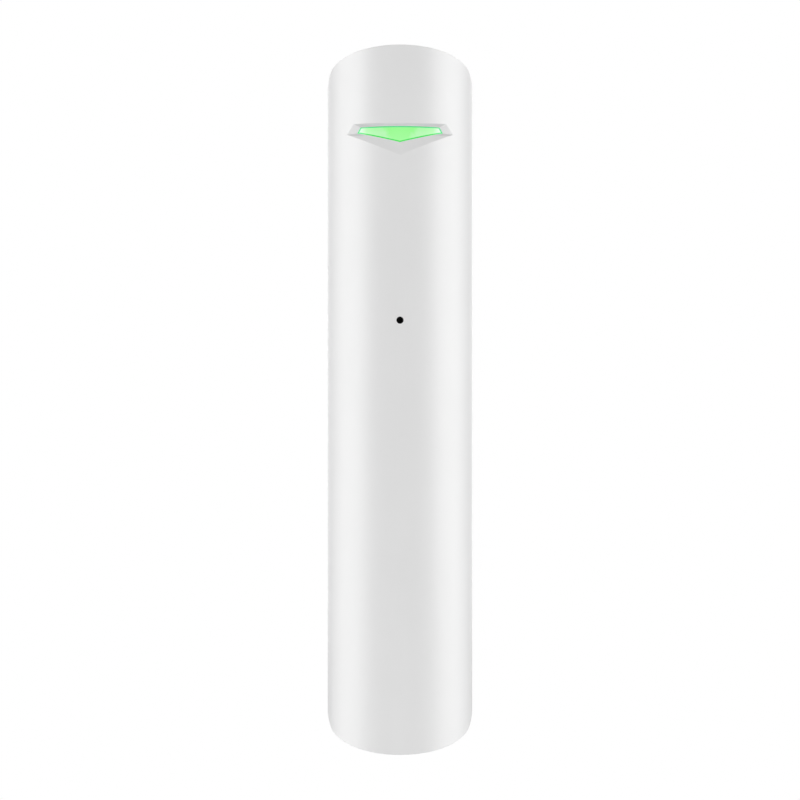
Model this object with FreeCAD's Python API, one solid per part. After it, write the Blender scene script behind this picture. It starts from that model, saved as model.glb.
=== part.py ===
import FreeCAD, Part
import math
import os

# Glass break sensor on its wall bracket, in millimetres.
# +Z is up, X runs across the width, the wall plane is y = 0 and the front faces -Y.
# A depth is measured backwards from the housing's front-most line.
# A rise is measured upwards from the lower edge of the circuit board.

Vec = FreeCAD.Vector

# Battery cell, which sets the width and the depth of the housing
CELL_DIAMETER = 16.5
CELL_LENGTH = 34.2
CELL_NUB_RADIUS = 3.0
CELL_NUB_HEIGHT = 1.0
CELL_EDGE = 0.4
CELL_CLEARANCE = 0.1
CELL_REAR_GAP = 0.35

# Housing
SIDE_WALL = 1.0
END_WALL = 1.2
FLANK_BULGE = 0.45
FLANK_RADIUS = 32.0
END_ANGLE = 17.9
END_EDGE = 0.1
PARTITION = 1.0
PARTITION_COVER_GAP = 0.35
SUMP_HEIGHT = 2.14

# Rear cover
COVER_THICKNESS = 1.2
COVER_RIM = 0.6
COVER_CLEARANCE = 0.1
TONGUE_X = 4.5
TONGUE_WIDTH = 3.6
TONGUE_THICKNESS = 0.8
TONGUE_LEDGE = 0.9
TONGUE_BITE = 0.55
TONGUE_ROOT_GAP = 0.2
SNAP_RISE = 10.8
SNAP_WIDTH = 4.0
SNAP_ARM = 1.0
SNAP_LENGTH = 4.0
SNAP_BARB = 0.45
SNAP_BARB_LENGTH = 1.3
SNAP_POCKET_GAP = 0.1

# Wall bracket
BRACKET_THICKNESS = 2.0
BRACKET_GAP = 0.15
BRACKET_INSET = 0.3
BRACKET_EDGE = 0.4
WALL_SCREW_SPACING = 66.0
WALL_SCREW_RADIUS = 1.9
WALL_SCREW_SEAT_RADIUS = 3.1
TAB_WIDTH = 10.0
TAB_HEIGHT = 19.0
TAB_CORNER = 2.0
TAB_SLOT = 0.8
TAB_BRIDGE = 1.4
TAB_SCREW_RADIUS = 1.6
TAB_SCREW_DROP = 9.0

# Hooks on the bracket and their slots in the rear cover
HOOK_WIDTH = 3.0
HOOK_WALL_GAP = 0.5
HOOK_STEM = 1.4
HOOK_REACH = 3.0
HOOK_HEAD = 1.0
HOOK_GRIP_GAP = 0.1
HOOK_CLEARANCE = 0.15
HOOK_RELEASE = 0.4
UPPER_HOOK_RISE = 21.5
LOWER_HOOK_DROP = 31.2

# Circuit board
BOARD_THICKNESS = 1.0
BOARD_SIDE_GAP = 1.0
BOARD_FLOOR_GAP = 0.4
BOARD_END_GAP = 0.5
BOARD_BEHIND_CELL_AXIS = 2.65
BOARD_CORNER = 0.8
BOARD_SCREW_RISE = 1.8
BOARD_SCREW_DROP = 1.7
SCREW_COLUMN_RADIUS = 1.7
SCREW_RADIUS = 0.75
SCREW_HOLE_GAP = 0.03
SCREW_LENGTH = 6.0
SCREW_HEAD_RADIUS = 1.5
SCREW_HEAD_HEIGHT = 1.0
SCREW_HEAD_EDGE = 0.3
BOARD_HOLE_GAP = 0.25
PIN_HOLE_GAP = 0.08

# Indicator window, as seen from the front: a pentagon that points down
POCKET_DEPTH = 0.5
LENS_TOP_HALF = 5.17
LENS_SIDE_HALF = 5.62
LENS_SIDE_DROP = 0.78
LENS_TIP_DROP = 2.13
RIM_TOP_HALF = 6.05
RIM_SIDE_HALF = 6.96
RIM_RISE = 0.3
RIM_CORNER_RISE = 0.42
RIM_SIDE_DROP = 0.87
RIM_TIP_DROP = 3.8
COLLAR_WALL = 0.9
COLLAR_DEPTH = 5.2
LENS_CLEARANCE = 0.02
LENS_FLANGE = 0.6
LENS_FLANGE_THICKNESS = 0.8
GUIDE_HALF_WIDTH = 4.2
GUIDE_HEIGHT = 1.6
SHROUD_WALL = 0.8
SHROUD_GAP = 0.15
LED_RISE = 31.57
LED_BELOW_LENS_TOP = 0.9
LED_X = 2.4
LED_WIDTH = 1.6
LED_DOME_WIDTH = 1.1
LED_HEIGHT = 0.8
LED_THICKNESS = 0.7
LED_GUIDE_GAP = 0.3
LED_TO_BOARD_TOP = 5.5

# Microphone
MIC_RISE = 7.2
MIC_HOLE_RADIUS = 0.44
MIC_LIP = 0.45
MIC_PORT_RADIUS = 1.0
MIC_SEAT_DEPTH = 2.3
MIC_RADIUS = 3.0
MIC_LENGTH = 2.7
MIC_PIN_X = 1.27
MIC_PIN_RADIUS = 0.25
MIC_PIN_TAIL = 0.6
MESH_RADIUS = 2.6
MESH_THICKNESS = 0.15
BOOT_WALL = 0.8
BOOT_FLOOR = 0.6
BOOT_TAIL = 0.4
BOOT_FIT = 0.05
MIC_RING_WALL = 0.85
MIC_RING_DEPTH = 5.4

# Battery contacts
CONTACT_SHEET = 0.3
SPRING_HEIGHT = 2.9
SPRING_WIRE = 0.7
SPRING_BASE_RADIUS = 4.6
SPRING_TOP_RADIUS = 2.6
SPRING_HALF_TURNS = 4
WIRE_SIDES = 4
STRIP_WIDTH = 3.0
STRIP_WALL_GAP = 0.05
STRIP_TAB_WIDTH = 2.2
STRIP_TAB_HEIGHT = 1.8
CONTACT_TAB_OUTER = 6.4
CONTACT_TAB_WIDTH = 2.6
CONTACT_TAB_OVERLAP = 3.0
CONTACT_HALF_HEIGHT = 3.2
NOTCH_GAP = 0.2

# Push switches on the back of the board and their plastic buttons
TAMPER_RISE = 19.3
TAMPER_TRAVEL = 0.8
TAMPER_TIP_GAP = 0.2
TAMPER_BODY = 6.0
TAMPER_BODY_HEIGHT = 2.6
PAIRING_X = 3.9
PAIRING_RISE = 11.3
PAIRING_TRAVEL = 0.4
PAIRING_TIP_GAP = 0.4
PAIRING_BODY = 5.2
PAIRING_BODY_HEIGHT = 1.9
STEM_RADIUS = 1.2
STEM_CLEARANCE = 0.1
SWITCH_FLOOR = 0.6
SWITCH_FLOOR_GAP = 0.1
BUTTON_RADIUS = 1.5
BUTTON_EDGE = 0.25
BUTTON_CLEARANCE = 0.1
BUTTON_FLANGE_RADIUS = 2.3
BUTTON_FLANGE = 0.8
BUTTON_FLANGE_GAP = 0.2

# Parts on the board
SHIELD_WIDTH = 12.0
SHIELD_LENGTH = 8.0
SHIELD_HEIGHT = 1.8
SHIELD_SHEET = 0.2
SHIELD_BELOW_LED = 4.4
RADIO_SIZE = 4.0
RADIO_HEIGHT = 0.8
RADIO_X = -2.8
CRYSTAL_WIDTH = 2.5
CRYSTAL_LENGTH = 3.2
CRYSTAL_HEIGHT = 0.7
CRYSTAL_X = 3.0
CONTROLLER_SIZE = 6.0
CONTROLLER_HEIGHT = 0.9
CONTROLLER_X = -4.0
AMPLIFIER_WIDTH = 3.9
AMPLIFIER_LENGTH = 3.0
AMPLIFIER_HEIGHT = 1.1
AMPLIFIER_X = 4.2
AMPLIFIER_RISE = 5.4
LEG_LENGTH = 0.6
LEG_WIDTH = 0.3
LEG_PITCH = 0.65
LEG_THICKNESS = 0.2
CAPACITOR_RADIUS = 2.0
CAPACITOR_HEIGHT = 5.4
CAPACITOR_GAP = 0.25
CAPACITOR_EDGE = 0.25
CAPACITOR_FOOT = 1.2
CHIP_LENGTH = 1.6
CHIP_WIDTH = 0.8
CHIP_CAPACITOR_HEIGHT = 0.8
CHIP_RESISTOR_HEIGHT = 0.5
CHIP_OUTER_COLUMN = 6.2
CHIP_INNER_COLUMN = 4.6
CHIP_LOWER_RISE = 20.5
CHIP_UPPER_RISE = 29.0
COIL_RADIUS = 2.0
COIL_WIRE = 0.6
COIL_PITCH = 2.4
COIL_TURNS = 3
COIL_RISE = 25.6
COIL_LIFT = 0.1

# Values worked out from the sizes above
END_SLOPE = math.tan(math.radians(END_ANGLE))
END_COSINE = math.cos(math.radians(END_ANGLE))
CELL_RADIUS = CELL_DIAMETER / 2
NOSE_RADIUS = CELL_RADIUS + CELL_CLEARANCE + SIDE_WALL
HALF_WIDTH = NOSE_RADIUS + FLANK_BULGE
FLANK_BACK = math.sqrt((FLANK_RADIUS - NOSE_RADIUS) ** 2 - (FLANK_RADIUS - HALF_WIDTH) ** 2)
LEDGE_DEPTH = NOSE_RADIUS + CELL_RADIUS + CELL_REAR_GAP
BODY_DEPTH = LEDGE_DEPTH + COVER_THICKNESS
BRACKET_FRONT = BODY_DEPTH + BRACKET_GAP
TOTAL_DEPTH = BRACKET_FRONT + BRACKET_THICKNESS
INNER_HALF_WIDTH = HALF_WIDTH - SIDE_WALL
BOARD_FRONT = NOSE_RADIUS + BOARD_BEHIND_CELL_AXIS
BOARD_REAR = BOARD_FRONT + BOARD_THICKNESS
BOARD_HALF_WIDTH = INNER_HALF_WIDTH - BOARD_SIDE_GAP
BOARD_LENGTH = LED_RISE + LED_TO_BOARD_TOP
CELL_STACK = 2 * PARTITION + 2 * CONTACT_SHEET + SPRING_HEIGHT + CELL_LENGTH
STACK_HEIGHT = SUMP_HEIGHT + CELL_STACK + BOARD_FLOOR_GAP + BOARD_LENGTH + BOARD_END_GAP
HALF_HEIGHT = (STACK_HEIGHT + END_SLOPE * (LEDGE_DEPTH + BOARD_REAR)) / 2 + END_WALL / END_COSINE
LIFT_TRAVEL = HOOK_REACH + HOOK_RELEASE
BORE_MARGIN = 1.0


def y_at(depth):
    return depth - TOTAL_DEPTH


def end_height(depth, inset=0.0):
    """Height of the top face at a depth, or of a plane parallel to it, inset into the body."""
    return HALF_HEIGHT - END_SLOPE * depth - inset / END_COSINE


# Heights of the stack inside the housing
SUMP_FLOOR = -end_height(LEDGE_DEPTH, END_WALL)
LOWER_PARTITION = SUMP_FLOOR + SUMP_HEIGHT
NEGATIVE_PLATE = LOWER_PARTITION + PARTITION
SPRING_BASE = NEGATIVE_PLATE + CONTACT_SHEET
CELL_BASE = SPRING_BASE + SPRING_HEIGHT
CELL_TOP = CELL_BASE + CELL_LENGTH
UPPER_PARTITION = CELL_TOP + CONTACT_SHEET
BOARD_BASE = UPPER_PARTITION + PARTITION + BOARD_FLOOR_GAP
BOARD_TOP = BOARD_BASE + BOARD_LENGTH
LED_Z = BOARD_BASE + LED_RISE
LENS_TOP = LED_Z + LED_BELOW_LENS_TOP
MIC_Z = BOARD_BASE + MIC_RISE
MIC_FRONT = MIC_SEAT_DEPTH + MESH_THICKNESS + BOOT_FLOOR
BOOT_RADIUS = MIC_RADIUS + BOOT_WALL
MIC_RING_RADIUS = BOOT_RADIUS + BOOT_FIT + MIC_RING_WALL
UPPER_HOOK = BOARD_BASE + UPPER_HOOK_RISE
LOWER_HOOK = BOARD_BASE - LOWER_HOOK_DROP
TAMPER_Z = BOARD_BASE + TAMPER_RISE
PAIRING_Z = BOARD_BASE + PAIRING_RISE
SNAP_Z = BOARD_BASE + SNAP_RISE
HOOK_OUTER = INNER_HALF_WIDTH - HOOK_WALL_GAP
HOOK_INNER = HOOK_OUTER - HOOK_WIDTH


def box(x_range, depth_range, z_range):
    """Block between two x values, two depths and two heights."""
    corner = Vec(min(x_range), y_at(depth_range[0]), z_range[0])
    width = abs(x_range[1] - x_range[0])
    return Part.makeBox(width, depth_range[1] - depth_range[0], z_range[1] - z_range[0], corner)


def full_slab(front, rear):
    """Slab as wide and high as the housing, between two depths."""
    return box((-HALF_WIDTH, HALF_WIDTH), (front, rear), (-HALF_HEIGHT, HALF_HEIGHT))


def span(middle, size):
    return (middle - size / 2, middle + size / 2)


def rod(x, z, depth_range, radius):
    """Cylinder that runs straight backwards."""
    start = Vec(x, y_at(depth_range[0]), z)
    return Part.makeCylinder(radius, depth_range[1] - depth_range[0], start, Vec(0, 1, 0))


def mirrored(shape):
    return shape.mirror(Vec(0, 0, 0), Vec(1, 0, 0))


def group(shapes):
    return Part.makeCompound(shapes)


def polygon_wire(points, depth):
    """Closed outline in a plane parallel to the wall, from points (x, z)."""
    corners = [Vec(x, y_at(depth), z) for x, z in points]
    return Part.makePolygon(corners + corners[:1])


def prism(points, depth_range, offset=0.0):
    """Outline, grown by an offset, pushed straight backwards between two depths."""
    wire = polygon_wire(points, depth_range[0])
    if offset:
        wire = wire.makeOffset2D(offset, join=2)
    return Part.Face(wire).extrude(Vec(0, depth_range[1] - depth_range[0], 0))


def section_face(inset, back_depth):
    """D section of the housing: nose arc, two long flank arcs and parallel sides, inset by a wall."""
    nose_y = y_at(NOSE_RADIUS)
    flank_y = nose_y + FLANK_BACK
    back_y = y_at(back_depth)
    nose = NOSE_RADIUS - inset
    flank = FLANK_RADIUS - inset
    side = HALF_WIDTH - inset
    turn = math.asin(FLANK_BACK / (FLANK_RADIUS - NOSE_RADIUS))
    join = Vec(nose * math.cos(turn), nose_y - nose * math.sin(turn), 0)
    middle_x = HALF_WIDTH - FLANK_RADIUS + flank * math.cos(turn / 2)
    flank_middle = Vec(middle_x, flank_y - flank * math.sin(turn / 2), 0)
    flank_end = Vec(side, flank_y, 0)
    back = Vec(side, back_y, 0)

    def other(point):
        return Vec(-point.x, point.y, point.z)

    edges = [
        Part.Arc(other(join), Vec(0, nose_y - nose, 0), join).toShape(),
        Part.Arc(join, flank_middle, flank_end).toShape(),
        Part.LineSegment(flank_end, back).toShape(),
        Part.LineSegment(back, other(back)).toShape(),
        Part.LineSegment(other(back), other(flank_end)).toShape(),
        Part.Arc(other(flank_end), other(flank_middle), other(join)).toShape(),
    ]
    return Part.Face(Part.Wire(edges))


def body_form(side_inset, end_inset, depth_range):
    """Solid inside the housing's outer form, inset at its sides and ends, between two depths."""
    reach = HALF_HEIGHT + BORE_MARGIN
    column = section_face(side_inset, depth_range[1])
    column.translate(Vec(0, 0, -reach))
    column = column.extrude(Vec(0, 0, 2 * reach))
    front, back = depth_range
    corners = [
        (y_at(front), end_height(front, end_inset)),
        (y_at(back), end_height(back, end_inset)),
        (y_at(back), -end_height(back, end_inset)),
        (y_at(front), -end_height(front, end_inset)),
    ]
    points = [Vec(-HALF_WIDTH - BORE_MARGIN, y, z) for y, z in corners]
    profile = Part.Face(Part.makePolygon(points + points[:1]))
    return column.common(profile.extrude(Vec(2 * (HALF_WIDTH + BORE_MARGIN), 0, 0)))


def lens_outline():
    return [
        (-LENS_TOP_HALF, LENS_TOP),
        (0.0, LENS_TOP),
        (LENS_TOP_HALF, LENS_TOP),
        (LENS_SIDE_HALF, LENS_TOP - LENS_SIDE_DROP),
        (0.0, LENS_TOP - LENS_TIP_DROP),
        (-LENS_SIDE_HALF, LENS_TOP - LENS_SIDE_DROP),
    ]


def rim_outline():
    return [
        (-RIM_TOP_HALF, LENS_TOP + RIM_CORNER_RISE),
        (0.0, LENS_TOP + RIM_RISE),
        (RIM_TOP_HALF, LENS_TOP + RIM_CORNER_RISE),
        (RIM_SIDE_HALF, LENS_TOP - RIM_SIDE_DROP),
        (0.0, LENS_TOP - RIM_TIP_DROP),
        (-RIM_SIDE_HALF, LENS_TOP - RIM_SIDE_DROP),
    ]


def nose_patch(outline, radius):
    """Patch of a cylinder about the nose axis that an outline covers when seen from the front."""
    axis_foot = Vec(0, y_at(NOSE_RADIUS), -HALF_HEIGHT)
    barrel = Part.makeCylinder(radius, 2 * HALF_HEIGHT, axis_foot, Vec(0, 0, 1))
    side = [face for face in barrel.Faces if isinstance(face.Surface, Part.Cylinder)][0]
    return side.common(prism(outline, (NOSE_RADIUS - radius - BORE_MARGIN, NOSE_RADIUS))).Faces[0]


def patch_edge(patch, start, end):
    """Edge of a patch that lies over one side of its outline."""
    middle_x = (start[0] + end[0]) / 2
    middle_z = (start[1] + end[1]) / 2

    def distance(edge):
        point = edge.valueAt((edge.FirstParameter + edge.LastParameter) / 2)
        return math.hypot(point.x - middle_x, point.z - middle_z)

    return min(patch.Edges, key=distance)


def window_pocket():
    """Faceted pocket round the window, from its rim on the nose down to the lens surface."""
    lens = lens_outline()
    rim = rim_outline()
    top = nose_patch(rim, NOSE_RADIUS)
    floor = nose_patch(lens, NOSE_RADIUS - POCKET_DEPTH)
    faces = [top, floor]
    for index in range(len(lens)):
        following = (index + 1) % len(lens)
        upper = patch_edge(top, rim[index], rim[following])
        lower = patch_edge(floor, lens[index], lens[following])
        faces.append(Part.makeRuledSurface(upper, lower))
    shell = Part.makeShell(faces)
    shell.sewShape()
    solid = Part.makeSolid(shell)
    if solid.Volume < 0:
        solid.reverse()
    return solid


def end_edges(shape):
    """Edges round the two sloped end faces, apart from those at the back."""
    picked = []
    for face in shape.Faces:
        if abs(face.normalAt(0, 0).z) < END_COSINE / 2:
            continue
        for edge in face.Edges:
            if edge.CenterOfMass.y < y_at(LEDGE_DEPTH):
                picked.append(edge)
    return picked


def partition(z):
    """Cross wall of the housing, with its notches for the battery contacts left to the caller."""
    slab = box((-HALF_WIDTH, HALF_WIDTH), (0, LEDGE_DEPTH - PARTITION_COVER_GAP), (z, z + PARTITION))
    return slab.common(body_form(SIDE_WALL / 2, END_WALL / 2, (SIDE_WALL / 2, LEDGE_DEPTH)))


def contact_notches():
    """Gaps in the upper partition for the tab and the strip of the battery contacts."""
    z_range = (UPPER_PARTITION - BORE_MARGIN, UPPER_PARTITION + PARTITION + BORE_MARGIN)
    depths = (BOARD_REAR - NOTCH_GAP, LEDGE_DEPTH)
    inner = CONTACT_TAB_OUTER - CONTACT_TAB_WIDTH - NOTCH_GAP
    tab = box((-CONTACT_TAB_OUTER - NOTCH_GAP, -inner), depths, z_range)
    strip_inner = INNER_HALF_WIDTH - STRIP_WALL_GAP - CONTACT_SHEET - NOTCH_GAP
    strip = box((strip_inner, INNER_HALF_WIDTH), depths, z_range)
    return tab.fuse(strip)


def screw_places():
    return [BOARD_BASE + BOARD_SCREW_RISE, BOARD_TOP - BOARD_SCREW_DROP]


def tongue_depths():
    rear = LEDGE_DEPTH - TONGUE_LEDGE
    return (rear - TONGUE_THICKNESS, rear)


def snap_barb_depths(gap=0.0):
    front = LEDGE_DEPTH - SNAP_LENGTH
    return (front - gap, front + SNAP_BARB_LENGTH + gap)


def front_housing():
    block = body_form(0, 0, (0, BODY_DEPTH))
    outer = block.makeChamfer(END_EDGE, end_edges(block))
    shell = outer.cut(body_form(SIDE_WALL, END_WALL, (SIDE_WALL, BODY_DEPTH + BORE_MARGIN)))
    seat = body_form(COVER_RIM, COVER_RIM, (SIDE_WALL, BODY_DEPTH + BORE_MARGIN))
    shell = shell.cut(seat.common(full_slab(LEDGE_DEPTH, BODY_DEPTH + BORE_MARGIN)))

    inside = [partition(LOWER_PARTITION), partition(UPPER_PARTITION).cut(contact_notches())]
    for z in screw_places():
        inside.append(rod(0, z, (SIDE_WALL / 2, BOARD_FRONT), SCREW_COLUMN_RADIUS))
    inside.append(rod(0, MIC_Z, (SIDE_WALL / 2, MIC_RING_DEPTH), MIC_RING_RADIUS))
    inside.append(prism(lens_outline(), (SIDE_WALL / 2, COLLAR_DEPTH), COLLAR_WALL))
    limit = body_form(SIDE_WALL / 2, END_WALL / 2, (SIDE_WALL / 2, LEDGE_DEPTH))
    shell = shell.fuse([feature.common(limit) for feature in inside])

    cuts = [
        window_pocket(),
        prism(lens_outline(), (-BORE_MARGIN, COLLAR_DEPTH + BORE_MARGIN)),
        rod(0, MIC_Z, (-BORE_MARGIN, MIC_SEAT_DEPTH + BORE_MARGIN), MIC_HOLE_RADIUS),
        rod(0, MIC_Z, (MIC_LIP, MIC_SEAT_DEPTH + BORE_MARGIN), MIC_PORT_RADIUS),
        rod(0, MIC_Z, (MIC_SEAT_DEPTH, MIC_RING_DEPTH + BORE_MARGIN), BOOT_RADIUS + BOOT_FIT),
    ]
    for z in screw_places():
        bottom = BOARD_REAR - SCREW_LENGTH - SCREW_HOLE_GAP
        cuts.append(rod(0, z, (bottom, BOARD_FRONT + BORE_MARGIN), SCREW_RADIUS + SCREW_HOLE_GAP))
    cuts += tongue_pockets() + snap_pockets()
    return shell.cut(cuts).removeSplitter()


def tongue_pockets():
    """Blind pockets in the bottom wall for the rear cover's tongues."""
    front, rear = tongue_depths()
    pockets = []
    for side in (-1, 1):
        x_range = span(side * TONGUE_X, TONGUE_WIDTH + 2 * COVER_CLEARANCE)
        depths = (front - COVER_CLEARANCE, rear + COVER_CLEARANCE)
        bottom = -end_height(front, END_WALL) - TONGUE_BITE - COVER_CLEARANCE
        pockets.append(box(x_range, depths, (bottom, LOWER_PARTITION - BORE_MARGIN)))
    return pockets


def snap_pockets():
    """Blind pockets in the side walls for the rear cover's snap arms."""
    depth = SNAP_BARB + SNAP_POCKET_GAP
    z_range = span(SNAP_Z, SNAP_WIDTH + 2 * SNAP_POCKET_GAP)
    x_range = (INNER_HALF_WIDTH - BORE_MARGIN, INNER_HALF_WIDTH + depth)
    right = box(x_range, snap_barb_depths(SNAP_POCKET_GAP), z_range)
    return [right, mirrored(right)]


def hook_places():
    return [(side, z) for side in (-1, 1) for z in (UPPER_HOOK, LOWER_HOOK)]


def hook_slot(side, z):
    """Slot in the rear cover, long enough to let a hook's head out when the sensor is lifted."""
    x_range = (side * (HOOK_INNER - HOOK_CLEARANCE), side * (HOOK_OUTER + HOOK_CLEARANCE))
    z_range = (z - HOOK_STEM / 2 - LIFT_TRAVEL - HOOK_CLEARANCE, z + HOOK_STEM / 2 + HOOK_CLEARANCE)
    return box(x_range, (LEDGE_DEPTH - BORE_MARGIN, BODY_DEPTH + BORE_MARGIN), z_range)


def snap_arm():
    """Springy arm on the right of the rear cover, with a wedge-shaped barb at its end."""
    outer = INNER_HALF_WIDTH - SNAP_POCKET_GAP
    front, barb_rear = snap_barb_depths()
    barb = INNER_HALF_WIDTH + SNAP_BARB
    corners = [
        (outer - SNAP_ARM, LEDGE_DEPTH),
        (outer - SNAP_ARM, front),
        (outer - SNAP_POCKET_GAP, front),
        (barb, barb_rear - SNAP_POCKET_GAP),
        (barb, barb_rear),
        (outer, barb_rear),
        (outer, LEDGE_DEPTH),
    ]
    points = [Vec(x, y_at(depth), SNAP_Z - SNAP_WIDTH / 2) for x, depth in corners]
    return Part.Face(Part.makePolygon(points + points[:1])).extrude(Vec(0, 0, SNAP_WIDTH))


def cover_tongue(side):
    """Tongue at the lower end of the rear cover that tucks into the bottom wall."""
    front, rear = tongue_depths()
    x_range = span(side * TONGUE_X, TONGUE_WIDTH)
    root_top = LOWER_PARTITION - TONGUE_ROOT_GAP
    root_bottom = SUMP_FLOOR + TONGUE_ROOT_GAP
    root = box(x_range, (front, LEDGE_DEPTH + BORE_MARGIN / 2), (root_bottom, root_top))
    tip = box(x_range, (front, rear), (-end_height(front, END_WALL) - TONGUE_BITE, root_top))
    return root.fuse(tip)


def rear_cover():
    inset = COVER_RIM + COVER_CLEARANCE
    plate = body_form(inset, inset, (NOSE_RADIUS, BODY_DEPTH))
    arm = snap_arm()
    added = [arm, mirrored(arm), cover_tongue(-1), cover_tongue(1)]
    cover = plate.common(full_slab(LEDGE_DEPTH, BODY_DEPTH)).fuse(added)
    through = (LEDGE_DEPTH - BORE_MARGIN, BODY_DEPTH + BORE_MARGIN)
    cuts = [hook_slot(side, z) for side, z in hook_places()]
    cuts.append(rod(0, TAMPER_Z, through, BUTTON_RADIUS + BUTTON_CLEARANCE))
    cuts.append(rod(PAIRING_X, PAIRING_Z, through, BUTTON_RADIUS + BUTTON_CLEARANCE))
    return cover.cut(cuts).removeSplitter()


def hook(side, z):
    """L-shaped hook: a stem through the cover's slot and a head that grips the cover from inside."""
    x_range = (side * HOOK_INNER, side * HOOK_OUTER)
    head_rear = LEDGE_DEPTH - HOOK_GRIP_GAP
    head_front = head_rear - HOOK_HEAD
    bottom, stem_top = span(z, HOOK_STEM)
    stem = box(x_range, (head_front, BRACKET_FRONT + BRACKET_THICKNESS / 2), (bottom, stem_top))
    head = box(x_range, (head_front, head_rear), (bottom, stem_top + HOOK_REACH))
    return stem.fuse(head)


def upright_edges(plate):
    """Edges that run through the thickness of a plate parallel to the wall."""
    return [edge for edge in plate.Edges if abs(edge.tangentAt(edge.FirstParameter).y) > END_COSINE / 2]


def rounded_plate(x_range, z_range, depth_range, radius):
    plate = box(x_range, depth_range, z_range)
    return plate.makeFillet(radius, upright_edges(plate))


def tamper_tab_slots():
    """Ring-shaped slot round the break-away tab, crossed by four thin bridges."""
    through = (BRACKET_FRONT - BORE_MARGIN, TOTAL_DEPTH + BORE_MARGIN)
    middle = TAMPER_Z - TAB_SCREW_DROP / 2
    ring_width = TAB_WIDTH + 2 * TAB_SLOT
    ring_height = TAB_HEIGHT + 2 * TAB_SLOT
    outer = rounded_plate(span(0, ring_width), span(middle, ring_height), through, TAB_CORNER + TAB_SLOT)
    inner = rounded_plate(span(0, TAB_WIDTH), span(middle, TAB_HEIGHT), through, TAB_CORNER)
    across = box(span(0, 2 * TAB_WIDTH), through, span(middle, TAB_BRIDGE))
    upright = box(span(0, TAB_BRIDGE), through, span(middle, 2 * TAB_HEIGHT))
    return outer.cut([inner, across, upright])


def wall_screw_hole(z):
    """Straight hole with a cone-shaped seat for a flat screw head."""
    hole = rod(0, z, (BRACKET_FRONT - BORE_MARGIN, TOTAL_DEPTH + BORE_MARGIN), WALL_SCREW_RADIUS)
    depth = WALL_SCREW_SEAT_RADIUS - WALL_SCREW_RADIUS
    mouth = Vec(0, y_at(BRACKET_FRONT), z)
    seat = Part.makeCone(WALL_SCREW_SEAT_RADIUS, WALL_SCREW_RADIUS, depth, mouth, Vec(0, 1, 0))
    return hole.fuse(seat)


def mounting_bracket():
    plate = body_form(BRACKET_INSET, BRACKET_INSET, (NOSE_RADIUS, TOTAL_DEPTH))
    plate = plate.common(full_slab(BRACKET_FRONT, TOTAL_DEPTH))
    plate = plate.makeChamfer(BRACKET_EDGE, upright_edges(plate))
    bracket = plate.fuse([hook(side, z) for side, z in hook_places()])
    cuts = [wall_screw_hole(side * WALL_SCREW_SPACING / 2) for side in (-1, 1)]
    cuts.append(tamper_tab_slots())
    through = (BRACKET_FRONT - BORE_MARGIN, TOTAL_DEPTH + BORE_MARGIN)
    cuts.append(rod(0, TAMPER_Z - TAB_SCREW_DROP, through, TAB_SCREW_RADIUS))
    return bracket.cut(cuts).removeSplitter()


def flange_rear():
    return COLLAR_DEPTH + LENS_FLANGE_THICKNESS


def indicator_light_guide():
    """Lens that fills the window, its flange behind the collar and the bar that leads to the lamps."""
    head = prism(lens_outline(), (0, COLLAR_DEPTH), -LENS_CLEARANCE)
    axis_foot = Vec(0, y_at(NOSE_RADIUS), 0)
    barrel = Part.makeCylinder(NOSE_RADIUS - POCKET_DEPTH, HALF_HEIGHT, axis_foot, Vec(0, 0, 1))
    head = head.common(barrel)
    flange = prism(lens_outline(), (COLLAR_DEPTH, flange_rear()), LENS_FLANGE)
    bar_end = BOARD_FRONT - LED_THICKNESS - LED_GUIDE_GAP
    bar = box((-GUIDE_HALF_WIDTH, GUIDE_HALF_WIDTH), (COLLAR_DEPTH, bar_end), span(LED_Z, GUIDE_HEIGHT))
    return head.fuse([flange, bar]).removeSplitter()


def light_shroud():
    """Sleeve round the light guide's bar that keeps the light off the rest of the board."""
    inner_half = GUIDE_HALF_WIDTH + SHROUD_GAP
    inner_height = GUIDE_HEIGHT + 2 * SHROUD_GAP
    depths = (flange_rear(), BOARD_FRONT)
    x_range = span(0, 2 * (inner_half + SHROUD_WALL))
    outer = rounded_plate(x_range, span(LED_Z, inner_height + 2 * SHROUD_WALL), depths, SHROUD_WALL)
    return outer.cut(box(span(0, 2 * inner_half), depths, span(LED_Z, inner_height)))


def indicator_leds():
    depths = (BOARD_FRONT - LED_THICKNESS, BOARD_FRONT)
    base_depths = (BOARD_FRONT - LED_THICKNESS / 2, BOARD_FRONT)
    lamps = []
    for side in (-1, 1):
        base = box(span(side * LED_X, LED_WIDTH), base_depths, span(LED_Z, LED_HEIGHT))
        dome = box(span(side * LED_X, LED_DOME_WIDTH), depths, span(LED_Z, LED_HEIGHT))
        lamps.append(base.fuse(dome))
    return group(lamps)


def main_board():
    x_range = span(0, 2 * BOARD_HALF_WIDTH)
    board = rounded_plate(x_range, (BOARD_BASE, BOARD_TOP), (BOARD_FRONT, BOARD_REAR), BOARD_CORNER)
    through = (BOARD_FRONT - BORE_MARGIN, BOARD_REAR + BORE_MARGIN)
    holes = [rod(0, z, through, SCREW_RADIUS + BOARD_HOLE_GAP) for z in screw_places()]
    pin_hole = MIC_PIN_RADIUS + PIN_HOLE_GAP
    holes += [rod(side * MIC_PIN_X, MIC_Z, through, pin_hole) for side in (-1, 1)]
    return board.cut(holes)


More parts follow.
